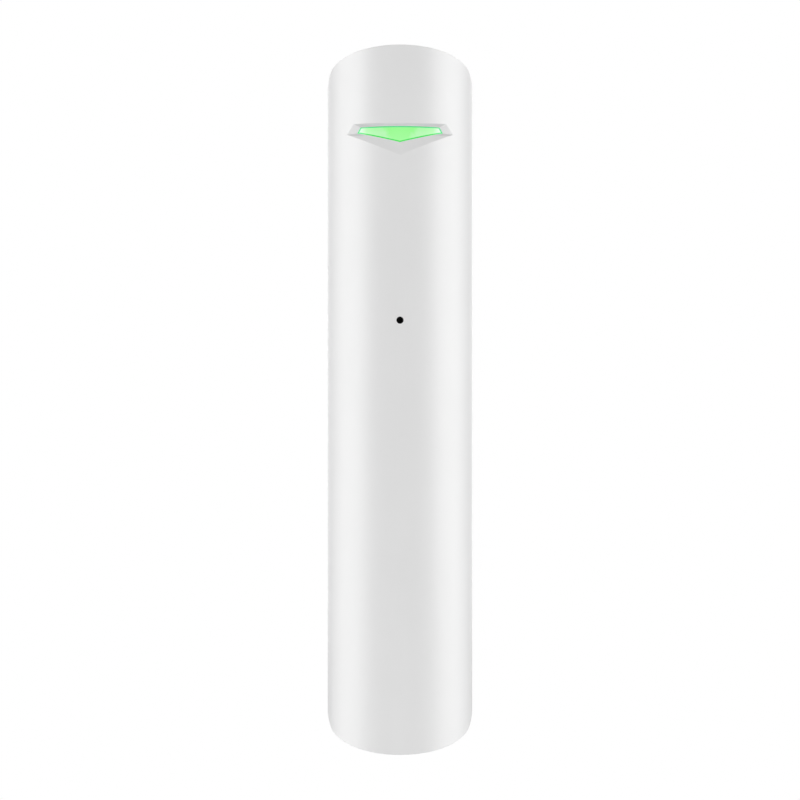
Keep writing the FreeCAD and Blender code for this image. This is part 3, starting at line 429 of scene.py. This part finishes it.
def indicator_lens():
    """Lit green lens: a vivid middle, paler cloudy sides, almost white corners and a deeper rim, with painted
    shade on the rim's top and a grey edge along its lower sides painted as lit housing plastic.
    """
    surface = Surface("indicator_lens")
    x, _, up = surface.split()
    across = surface.math("ABSOLUTE", x)
    drop = surface.math("SUBTRACT", LENS_TOP_Z, up)
    cloud = surface.noise(LENS_CLOUD_GRAIN, detail=3.0)
    cloud = surface.math("MULTIPLY_ADD", cloud, LENS_CLOUD_REACH, across)
    cloud = surface.math("MULTIPLY_ADD", drop, LENS_CLOUD_SLOPE, cloud)
    pale = surface.between(cloud, *LENS_PALE_START)
    pale = surface.product(pale, surface.between(drop, *LENS_TOP_FADE, LENS_TOP_PALENESS, 1.0))
    pale = surface.math("MAXIMUM", pale, surface.between(drop, *LENS_FOOT_FADE, 0.0, LENS_FOOT_PALENESS))
    colour = surface.mix(pale, LENS_GREEN, LENS_PALE)
    colour = surface.mix(surface.between(across, *LENS_CORNER_START), colour, LENS_CORNER)
    to_rim = surface.least(side_distances(surface, across, up, LENS_OUTLINE))
    low = surface.between(up, *LENS_RIM_FADE, 1.0, 0.0)
    # Painted shade: the rim's colour is darker at its top
    rim = surface.mix(low, LENS_RIM_TOP_SHADED, LENS_RIM_LOW)
    colour = surface.mix(surface.under(to_rim, LENS_RIM_WIDTH, SOFT_BLUR), colour, rim)
    # Painted light: the edge along the lower sides glows in the grey of lit housing plastic
    edge = surface.product(surface.under(to_rim, LENS_EDGE_WIDTH, FINE_BLUR), low)
    colour = surface.mix(edge, colour, LENS_EDGE_PAINTED_LIGHT)
    surface.give(surface.shader, {"Base Color": LENS_BODY, "Roughness": 0.3})
    surface.give(surface.shader, {"Emission Color": colour, "Emission Strength": 1.0})
    return surface.material


def pin_dots(surface, x, z):
    """A small dimple near one corner of each chip on the back of the board, which marks its first pin."""
    chips = {"microcontroller_chip": CONTROLLER_DOT_INSET, "audio_amplifier_chip": AMPLIFIER_DOT_INSET}
    distances = []
    for chip, (inset_x, inset_z) in chips.items():
        low, high = box_mm(chip)
        aside = surface.math("SUBTRACT", x, low.x + inset_x)
        above = surface.math("SUBTRACT", z, high.z - inset_z)
        distances.append(surface.hypotenuse(aside, above))
    return surface.under(surface.least(distances), PIN_DOT_RADIUS, SOFT_BLUR)


def from_chip_middles(surface, z, node):
    """Height in mm from the nearer of two rows of chips, which stand at the ends of their node's box."""
    low, high = box_mm(node)
    from_low = surface.away_from(z, low.z + CHIP_HALF_LENGTH)
    from_high = surface.away_from(z, high.z - CHIP_HALF_LENGTH)
    return surface.math("MINIMUM", from_low, from_high)


def past_chip_body(surface, from_middle):
    return surface.past(from_middle, CHIP_BODY_HALF_LENGTH, CHIP_BODY_BLUR)


def resistor_ends(surface, x, z):
    """The tinned ends of the small resistors."""
    inner = box_mm("chip_resistors")[1].x - CHIP_WIDTH
    from_middle = from_chip_middles(surface, z, "chip_resistors")
    in_row = surface.within(from_middle, CHIP_HALF_LENGTH + BLUR, FINE_BLUR)
    in_column = surface.past(surface.math("ABSOLUTE", x), inner - SOFT_BLUR, SOFT_BLUR)
    return surface.product(past_chip_body(surface, from_middle), in_row, in_column)


def amplifier_legs(surface, x, z):
    """The tinned legs that stand out of the amplifier's case."""
    low, high = box_mm("audio_amplifier_chip")
    aside = surface.away_from(x, (low.x + high.x) / 2)
    above = surface.away_from(z, (low.z + high.z) / 2)
    past_case = surface.past(aside, AMPLIFIER_CASE_WIDTH / 2, FINE_BLUR)
    in_width = surface.within(aside, (high.x - low.x) / 2 + BLUR, FINE_BLUR)
    in_height = surface.within(above, (high.z - low.z) / 2 + BLUR, FINE_BLUR)
    return surface.product(past_case, in_width, in_height)


def epoxy():
    """Black moulded epoxy and nylon: matt and sandy, with a greyer bloom and the chips' tinned ends."""
    surface = Surface("black_plastic")
    x, y, z = surface.split()
    dot = pin_dots(surface, x, z)
    behind_board = surface.past(y, box_mm("main_board")[1].y - BLUR, FINE_BLUR)
    tinned = surface.math("MAXIMUM", resistor_ends(surface, x, z), amplifier_legs(surface, x, z))
    tinned = surface.product(behind_board, tinned)
    bloom = surface.between(surface.noise(1.5, detail=4.0), *BLOOM_RANGE)
    tone = surface.mix(bloom, (0.012, 0.012, 0.013, 1), (0.030, 0.030, 0.031, 1))
    tone = surface.mix(tinned, surface.mix(dot, tone, grey(0.10)), TIN)
    rough = surface.between(surface.noise(0.4), *NOISE_RANGE, 0.45, 0.62)
    rough = surface.blend(surface.math("MAXIMUM", dot, tinned), rough, 0.3)
    surface.give(surface.shader, {"Base Color": tone, "Roughness": rough, "Metallic": tinned})
    dented = surface.math("MULTIPLY_ADD", dot, -PIN_DOT_DENT, surface.noise(0.07, detail=3.0))
    surface.bump(dented, depth_mm=0.006)
    return surface.material


def lamp_resin():
    """Two lamps with clear resin over a pale body."""
    surface = Surface("lamp_resin")
    depth = surface.split()[1]
    dome_foot = box_mm("indicator_leds")[0].y + LAMP_DOME_DEPTH
    dome = surface.within(depth, dome_foot, LAMP_DOME_BLUR)
    tone = surface.mix(dome, (0.80, 0.79, 0.74, 1), (0.45, 0.90, 0.40, 1))
    rough = surface.blend(dome, 0.5, 0.12)
    surface.give(surface.shader, {"Base Color": tone, "Roughness": rough})
    surface.give(surface.shader, {"Emission Color": (0.25, 1.0, 0.3, 1), "Emission Strength": 0.4})
    surface.bump(surface.noise(0.2), depth_mm=0.004)
    return surface.material


def rubber():
    """Black rubber with dust on it in places."""
    surface = Surface("black_rubber")
    dusty = surface.between(surface.noise(0.9, detail=5.0), *DUST_RANGE)
    tone = surface.mix(dusty, (0.008, 0.008, 0.009, 1), (0.05, 0.048, 0.045, 1))
    surface.give(surface.shader, {"Base Color": tone, "Roughness": 0.72})
    surface.give(surface.shader, {"Sheen Weight": 0.15, "Sheen Roughness": 0.5})
    surface.bump(surface.noise(0.12, detail=4.0), depth_mm=0.012)
    return surface.material


def woven_mesh():
    """Fine black acoustic cloth in a plain weave, whose threads lie half a pitch apart."""
    surface = Surface("acoustic_mesh")
    x, _, z = surface.split()
    turns = 2 * math.pi / MESH_PITCH
    warp = surface.math("SINE", surface.math("MULTIPLY", x, turns))
    weft = surface.math("SINE", surface.math("MULTIPLY", z, turns))
    height = surface.between(surface.product(warp, weft), -1.0, 1.0)
    # Painted shade: the cloth is darker where its weave lies low and lighter where threads cross over
    tone = surface.mix(height, (0.001, 0.001, 0.001, 1), (0.012, 0.012, 0.013, 1))
    surface.give(surface.shader, {"Base Color": tone, "Roughness": 0.6})
    surface.bump(height, depth_mm=0.03)
    return surface.material


def tracks(surface, along, across):
    """Copper tracks that run along one axis and jog sideways at 45 degrees from time to time."""
    phase = surface.math("PINGPONG", along, TRACK_REPEAT)
    jog = surface.between(phase, *TRACK_JOG, 0.0, TRACK_JOG[1] - TRACK_JOG[0])
    from_line = surface.math("PINGPONG", surface.math("ADD", across, jog), TRACK_PITCH / 2)
    return surface.under(from_line, TRACK_WIDTH / 2, BLUR)


def box_edge_distance(surface, x, z, node, gap):
    """Distance in mm to a rectangle drawn round a node at a gap, seen square to the board."""
    low, high = box_mm(node)
    beyond = []
    for value, start, end in ((x, low.x, high.x), (z, low.z, high.z)):
        from_middle = surface.away_from(value, (start + end) / 2)
        beyond.append(surface.math("SUBTRACT", from_middle, (end - start) / 2 + gap))
    return surface.math("ABSOLUTE", surface.math("MAXIMUM", *beyond))


def printed_outlines(surface, x, y, z):
    """White outlines printed round the larger parts on the two faces of the board."""
    low, high = box_mm("main_board")
    marks = []
    for nodes, front in ((PRINTED_FRONT, 1.0), (PRINTED_BACK, 0.0)):
        lines = [box_edge_distance(surface, x, z, node, PRINT_CLEARANCE) for node in nodes]
        line = surface.under(surface.least(lines), PRINT_WIDTH / 2, BLUR)
        face = surface.between(y, low.y, high.y, front, 1.0 - front)
        marks.append(surface.product(line, face))
    return surface.math("MAXIMUM", *marks)


def board_copper(surface, x, z):
    """Upright tracks where a noise is low, level ones too where it is lowest, and a pour where it is high."""
    region = surface.noise(TRACK_REGION, detail=0.0)
    in_upright = surface.within(region, UPRIGHT_TRACKS_UNDER, REGION_BLUR)
    in_level = surface.within(region, LEVEL_TRACKS_UNDER, REGION_BLUR)
    upright = surface.product(tracks(surface, z, x), in_upright)
    level = surface.product(tracks(surface, x, z), in_level)
    pour = surface.past(region, POUR_OVER, REGION_BLUR)
    return surface.math("MAXIMUM", surface.math("MAXIMUM", upright, level), pour)


def board_laminate():
    """Green mask over copper tracks and pour, tinned vias, white print and bare glass-fibre edges."""
    surface = Surface("board_laminate")
    x, y, z = surface.split()
    copper = board_copper(surface, x, z)
    mask = surface.mix(copper, (0.006, 0.085, 0.036, 1), (0.012, 0.150, 0.058, 1))
    print_mark = printed_outlines(surface, x, y, z)
    mask = surface.mix(print_mark, mask, grey(0.75))
    spots = {"Vector": surface.place, "Scale": 1 / (VIA_SPACING * MM), "Randomness": 0.7}
    from_via = surface.node("ShaderNodeTexVoronoi", spots, voronoi_dimensions="3D").outputs["Distance"]
    from_via = surface.math("MULTIPLY", from_via, VIA_SPACING)
    via = surface.within(from_via, VIA_RADIUS, VIA_BLUR)
    mask = surface.mix(via, mask, (0.55, 0.53, 0.45, 1))
    normal = surface.node("ShaderNodeTexCoord").outputs["Normal"]
    facing = surface.node("ShaderNodeSeparateXYZ", {0: normal}).outputs["Y"]
    edge = surface.between(surface.math("ABSOLUTE", facing), *EDGE_TURN, 1.0, 0.0)
    fibre = surface.between(surface.noise(0.1, detail=1.0), *NOISE_RANGE)
    laminate = surface.mix(fibre, (0.35, 0.33, 0.13, 1), (0.55, 0.52, 0.26, 1))
    surface.give(surface.shader, {"Base Color": surface.mix(edge, mask, laminate), "Roughness": 0.35})
    surface.give(surface.shader, {"Coat Weight": 0.5, "Coat Roughness": 0.2})
    surface.bump(surface.math("ADD", copper, print_mark), depth_mm=0.03, strength=0.6)
    return surface.material


def metal(name, colour, roughness, brushed_mm):
    """Plated metal with fine drawing marks and faint blotches."""
    surface = Surface(name)
    squeezed = {0: surface.place, 1: METAL_MARKS}
    drawn = surface.node("ShaderNodeVectorMath", squeezed, operation="MULTIPLY").outputs["Vector"]
    marks = surface.noise(brushed_mm, detail=3.0, place=drawn)
    blotch = surface.between(surface.noise(METAL_BLOTCH_GRAIN, detail=3.0), *BLOTCH_RANGE)
    tone = surface.mix(blotch, colour, shaded(colour, METAL_BLOTCH_TONE))
    rough = surface.between(marks, *NOISE_RANGE, roughness - 0.05, roughness + 0.08)
    surface.give(surface.shader, {"Base Color": tone, "Roughness": rough, "Metallic": 1.0})
    surface.bump(marks, depth_mm=0.003)
    return surface.material


def chip_ceramic():
    """Tan ceramic chips with tinned ends."""
    surface = Surface("chip_ceramic")
    z = surface.split()[2]
    tinned = past_chip_body(surface, from_chip_middles(surface, z, "chip_capacitors"))
    grain = surface.noise(0.15, detail=3.0)
    body = surface.mix(grain, (0.30, 0.20, 0.12, 1), (0.42, 0.30, 0.19, 1))
    surface.give(surface.shader, {"Base Color": surface.mix(tinned, body, TIN), "Metallic": tinned})
    surface.give(surface.shader, {"Roughness": surface.blend(tinned, 0.55, 0.3)})
    surface.bump(grain, depth_mm=0.01)
    return surface.material


def plus_sign(surface, x, from_top):
    """A plus sign in the middle of the cell's band."""
    aside = surface.math("ABSOLUTE", x)
    above = surface.away_from(from_top, (CELL_BAND_TOP + CELL_BAND_FOOT) / 2)
    nearer, further = surface.math("MINIMUM", aside, above), surface.math("MAXIMUM", aside, above)
    in_width = surface.within(nearer, PLUS_HALF_WIDTH, PLUS_BLUR)
    in_length = surface.within(further, PLUS_HALF_LENGTH, PLUS_BLUR)
    return surface.product(in_width, in_length)


def cell_wrap():
    """Dark shrunk sleeve with an amber band and a plus sign, over a steel can that is bare at its ends."""
    surface = Surface("cell_wrap")
    x, y, z = surface.split()
    low, high = box_mm("battery_cell")
    from_bottom = surface.math("SUBTRACT", z, low.z)
    from_top = surface.math("SUBTRACT", high.z, z)
    from_end = surface.math("MINIMUM", from_bottom, from_top)
    at_end = surface.within(from_end, CELL_END_RIM, FINE_BLUR)
    off_axis = surface.math("SUBTRACT", y, (low.y + high.y) / 2)
    core = surface.within(surface.hypotenuse(off_axis, x), CELL_BARE_RADIUS, CELL_BARE_BLUR)
    bare = surface.product(at_end, core)
    band = surface.product(
        surface.past(from_top, CELL_BAND_TOP, CELL_BAND_BLUR),
        surface.within(from_top, CELL_BAND_FOOT, CELL_BAND_BLUR),
        surface.math("SUBTRACT", 1.0, plus_sign(surface, x, from_top)),
    )
    wrap = surface.mix(band, (0.015, 0.017, 0.022, 1), (0.62, 0.42, 0.12, 1))
    surface.give(surface.shader, {"Base Color": surface.mix(bare, wrap, grey(0.7))})
    surface.give(surface.shader, {"Metallic": bare, "Roughness": 0.28})
    surface.bump(surface.noise(2.5, detail=2.0), depth_mm=0.05, strength=0.5)
    return surface.material


# The finish of every slot. After its name and colour, a plastic has its roughness and the grain and depth of
# its texture in millimetres, and a metal has its roughness and the grain of its drawing marks in millimetres.
# The housing's plastic also has the painted light and shade of its window pocket and sound hole.
LOOKS = {
    "housing_plastic": moulded_plastic("housing", grey(0.80), 0.42, 0.18, 0.004, housing_painted_shade),
    "cover_plastic": moulded_plastic("cover", grey(0.78), 0.45, 0.25, 0.006),
    "bracket_plastic": moulded_plastic("bracket", grey(0.78), 0.45, 0.25, 0.006),
    "button_plastic": moulded_plastic("button", (0.62, 0.63, 0.64, 1), 0.4, 0.2, 0.004),
    "indicator_lens": indicator_lens(),
    "black_plastic": epoxy(),
    "lamp_resin": lamp_resin(),
    "black_rubber": rubber(),
    "acoustic_mesh": woven_mesh(),
    "board_laminate": board_laminate(),
    "plated_steel": metal("plated_steel", (0.78, 0.76, 0.72, 1), 0.26, 0.12),
    "can_aluminium": metal("can_aluminium", (0.86, 0.87, 0.88, 1), 0.34, 0.2),
    "chip_ceramic": chip_ceramic(),
    "cell_wrap": cell_wrap(),
    "coil_wire": metal("coil_wire", (0.78, 0.34, 0.15, 1), 0.24, 0.3),
}


def dress_nodes():
    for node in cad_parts.values():
        for place in node.material_slots:
            place.material = LOOKS[place.material.name.split(".")[0]]


def new_piece(name, slot, skins):
    """One mesh piece of the sensor, from skins of points in millimetres, with the finish of a slot."""
    points, faces = [], []
    for skin_points, skin_faces in skins:
        faces += [[len(points) + index for index in face] for face in skin_faces]
        points += [MM * point for point in skin_points]
    mesh = bpy.data.meshes.new(name)
    mesh.from_pydata(points, [], faces)
    mesh.shade_smooth()
    mesh.materials.append(LOOKS[slot])
    piece = bpy.data.objects.new(name, mesh)
    bpy.context.scene.collection.objects.link(piece)
    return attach(piece, "sensor")


def skin_over(rings):
    """Points and faces of a closed skin over rings that have the same number of points."""
    count = len(rings[0])
    end = (len(rings) - 1) * count
    faces = [tuple(reversed(range(count)))]
    for low in range(0, end, count):
        for corner in range(count):
            after = (corner + 1) % count
            faces.append((low + corner, low + after, low + count + after, low + count + corner))
    faces.append(tuple(range(end, end + count)))
    return [point for ring in rings for point in ring], faces


def round_steps(count):
    """The angles of a number of points evenly round a circle."""
    return [2 * math.pi * index / count for index in range(count)]


def wire_skin(path, radius):
    """Round wire along a path, with half-round ends."""
    last = len(path) - 1
    bulge = [(math.sin(turn), math.cos(turn)) for turn in WIRE_END_TURNS]
    stations = [(0, -reach, share) for reach, share in bulge]
    stations += [(index, 0, 1) for index in range(last + 1)]
    stations += [(last, reach, share) for reach, share in reversed(bulge)]
    across = Vector((0, 0, 1))
    rings = []
    for index, reach, share in stations:
        heading = (path[min(index + 1, last)] - path[max(index - 1, 0)]).normalized()
        across = (across - across.dot(heading) * heading).normalized()
        beside = heading.cross(across)
        middle = path[index] + reach * radius * heading
        spokes = [math.cos(turn) * across + math.sin(turn) * beside for turn in round_steps(WIRE_SIDES)]
        rings.append([middle + share * radius * spoke for spoke in spokes])
    return skin_over(rings)


def wound_path(radii, axis, rise):
    """Middle of a wire wound about an upright axis in tilted half rings, from each radius to the next."""
    step_up = rise / (len(radii) - 1)
    path = []
    for index, (start, end) in enumerate(zip(radii, radii[1:])):
        side = 1 if index % 2 == 0 else -1
        first = axis + Vector((0, -side * start, index * step_up))
        second = axis + Vector((0, side * end, (index + 1) * step_up))
        middle = (first + second) / 2
        arm = first - middle
        ahead = Vector((side * arm.length, 0, 0))
        for step in range(1 if index else 0, HALF_TURN_STEPS + 1):
            turn = math.pi * step / HALF_TURN_STEPS
            path.append(middle + math.cos(turn) * arm + math.sin(turn) * ahead)
    return path


def mound_skin(middle, half_width, half_height, profile):
    """Solder that stands on the board's back, from a profile of (share of its foot, rise)."""
    rings = []
    for share, rise in profile:
        x, z = share * half_width, -share * half_height
        turns = round_steps(SOLDER_SIDES)
        rings.append([middle + Vector((x * math.cos(turn), rise, z * math.sin(turn))) for turn in turns])
    return skin_over(rings)


def fillet_skin(middle, radius, rise):
    """Hollow-sided solder round a pin or leg of that radius."""
    foot = radius + SOLDER_SPREAD
    profile = []
    for step in range(SOLDER_STEPS + 1):
        left = 1 - step / SOLDER_STEPS
        reach = radius - SOLDER_OVERLAP + SOLDER_SPREAD * left**2
        profile.append((reach / foot, rise * (1 - left) - SOLDER_SINK))
    return mound_skin(middle, foot, foot, profile)


def dome_skin(middle, half_width, half_height):
    """Rounded solder over the end of a contact's tab, whose last ring is half a step short of its top."""
    profile = []
    for step in range(SOLDER_STEPS):
        turn = math.pi / 2 * step / (SOLDER_STEPS - 0.5)
        profile.append((math.cos(turn), TAB_SOLDER_RISE * math.sin(turn) - SOLDER_SINK))
    return mound_skin(middle, half_width, half_height, profile)


def battery_spring_wire():
    """The cone spring under the cell, wound from round wire on the solid's path."""
    cell_low, cell_high = box_mm("battery_cell")
    plate_top = box_mm("battery_negative_contact")[0].z + CONTACT_SHEET
    margin = SPRING_GAP + SPRING_WIRE / 2
    foot = Vector((0, (cell_low.y + cell_high.y) / 2, plate_top + margin))
    path = wound_path(SPRING_RADII, foot, cell_low.z - margin - foot.z)
    piece = new_piece("battery_spring_wire", "plated_steel", [wire_skin(path, SPRING_WIRE / 2)])
    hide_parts("battery_spring")


def board_back(x, z):
    """A place on the back of the board, in millimetres."""
    return Vector((x, box_mm("main_board")[1].y, z))


def coil_legs():
    """Places on the board where the two legs of the antenna coil stand."""
    low, high = box_mm("antenna_coil")
    return [board_back(0, low.z + COIL_WIRE / 2), board_back(0, high.z - COIL_WIRE / 2)]


def antenna_coil_wire():
    """The antenna coil, wound from round wire on the solid's path, with a short leg at each end."""
    radius = COIL_WIRE / 2
    legs = coil_legs()
    foot = legs[0] + Vector((0, COIL_LIFT + radius + COIL_RADII[0], 0))
    path = wound_path(COIL_RADII, foot, legs[1].z - legs[0].z)
    skins = [wire_skin(path, radius)]
    for leg, end in zip(legs, (path[0], path[-1])):
        skins.append(wire_skin([Vector((end.x, leg.y + radius, end.z)), end], radius))
    piece = new_piece("antenna_coil_wire", "coil_wire", skins)
    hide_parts("antenna_coil")


def solder_joints():
    """Solder at the microphone's pins, the antenna coil's legs and the battery contacts' tabs."""
    low, high = box_mm("microphone_leads")
    pin_z = (low.z + high.z) / 2
    pins = [board_back(x, pin_z) for x in (low.x + PIN_RADIUS, high.x - PIN_RADIUS)]
    skins = [fillet_skin(pin, PIN_RADIUS, PIN_SOLDER_RISE) for pin in pins]
    skins += [fillet_skin(leg, COIL_WIRE / 2, LEG_SOLDER_RISE) for leg in coil_legs()]
    tab_corner = box_mm("battery_negative_contact")[1]
    place = board_back(tab_corner.x - NEGATIVE_TAB[0], tab_corner.z - NEGATIVE_TAB[1] / 2)
    skins.append(dome_skin(place, *NEGATIVE_SOLDER))
    low, high = box_mm("battery_positive_contact")
    place = board_back(low.x + POSITIVE_TAB_WIDTH / 2, high.z)
    skins.append(dome_skin(place, *POSITIVE_SOLDER))
    new_piece("solder_joints", "plated_steel", skins)


def keep_lamp_glow_off_the_housing():
    """The lens looks lit but colours nothing round it, as in the photograph."""
    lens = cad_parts["indicator_light_guide"]
    lens.visible_diffuse = False
    lens.visible_glossy = False


def centre():
    return (CAD_BOX[0] + CAD_BOX[1]) / 2


def aim(thing, target):
    thing.rotation_euler = (target - thing.location).to_track_quat("-Z", "Y").to_euler()


def soft_box(bearing, rise, width, height, power):
    light = bpy.data.lights.new("soft_box", "AREA")
    light.shape = "RECTANGLE"
    light.size = width
    light.size_y = height
    light.energy = power
    level = math.cos(math.radians(rise))
    turn = math.radians(bearing)
    direction = Vector((math.sin(turn) * level, -math.cos(turn) * level, math.sin(math.radians(rise))))
    holder = bpy.data.objects.new("soft_box", light)
    holder.location = centre() + BOX_DISTANCE * direction
    aim(holder, centre())
    holder.visible_camera = False
    bpy.context.scene.collection.objects.link(holder)


def studio_lights():
    for box in SOFT_BOXES:
        soft_box(*box)


def backdrop():
    """White where the camera sees past everything, and much dimmer to every other ray."""
    world = bpy.data.worlds.new("studio")
    bpy.context.scene.world = world
    world.use_nodes = True
    nodes, links = world.node_tree.nodes, world.node_tree.links
    seen = nodes.new("ShaderNodeLightPath")
    strength = nodes.new("ShaderNodeMapRange")
    strength.inputs["To Min"].default_value = AMBIENT
    background = nodes["Background"]
    background.inputs["Color"].default_value = grey(1.0)
    links.new(seen.outputs["Is Camera Ray"], strength.inputs["Value"])
    links.new(strength.outputs["Result"], background.inputs["Strength"])


def studio_floor():
    """Pale disc well below the object that fades into the white backdrop."""
    mesh = bpy.data.meshes.new("studio_floor")
    made = bmesh.new()
    bmesh.ops.create_circle(made, cap_ends=True, segments=FLOOR_SIDES, radius=FLOOR_RADIUS)
    made.to_mesh(mesh)
    made.free()
    floor = bpy.data.objects.new("studio_floor", mesh)
    floor.location = (0, 0, -FLOOR_DROP)
    bpy.context.scene.collection.objects.link(floor)
    surface = Surface("floor_paper")
    away = surface.node("ShaderNodeVectorMath", {0: surface.place}, operation="LENGTH").outputs["Value"]
    fade_start, fade_end = (share * FLOOR_RADIUS for share in FLOOR_FADE)
    cover = surface.between(away, fade_start, fade_end, 1.0, 0.0)
    surface.give(surface.shader, {"Base Color": grey(0.8), "Roughness": 0.8, "Alpha": cover})
    mesh.materials.append(surface.material)


def camera():
    lens = bpy.data.cameras.new("camera")
    lens.sensor_width = SENSOR_WIDTH
    lens.lens = SENSOR_WIDTH * FOCAL_LENGTH_PIXELS / PICTURE_SIDE
    lens.clip_start = CAMERA_CLIP
    holder = bpy.data.objects.new("camera", lens)
    holder.location = (0, -CAMERA_DISTANCE, -CAMERA_DROP)
    holder.rotation_euler = (math.radians(90), 0, 0)
    bpy.context.scene.collection.objects.link(holder)
    bpy.context.scene.camera = holder


dress_nodes()
battery_spring_wire()
antenna_coil_wire()
solder_joints()
keep_lamp_glow_off_the_housing()
studio_lights()
backdrop()
studio_floor()
camera()
bpy.context.scene.view_settings.view_transform = "Standard"
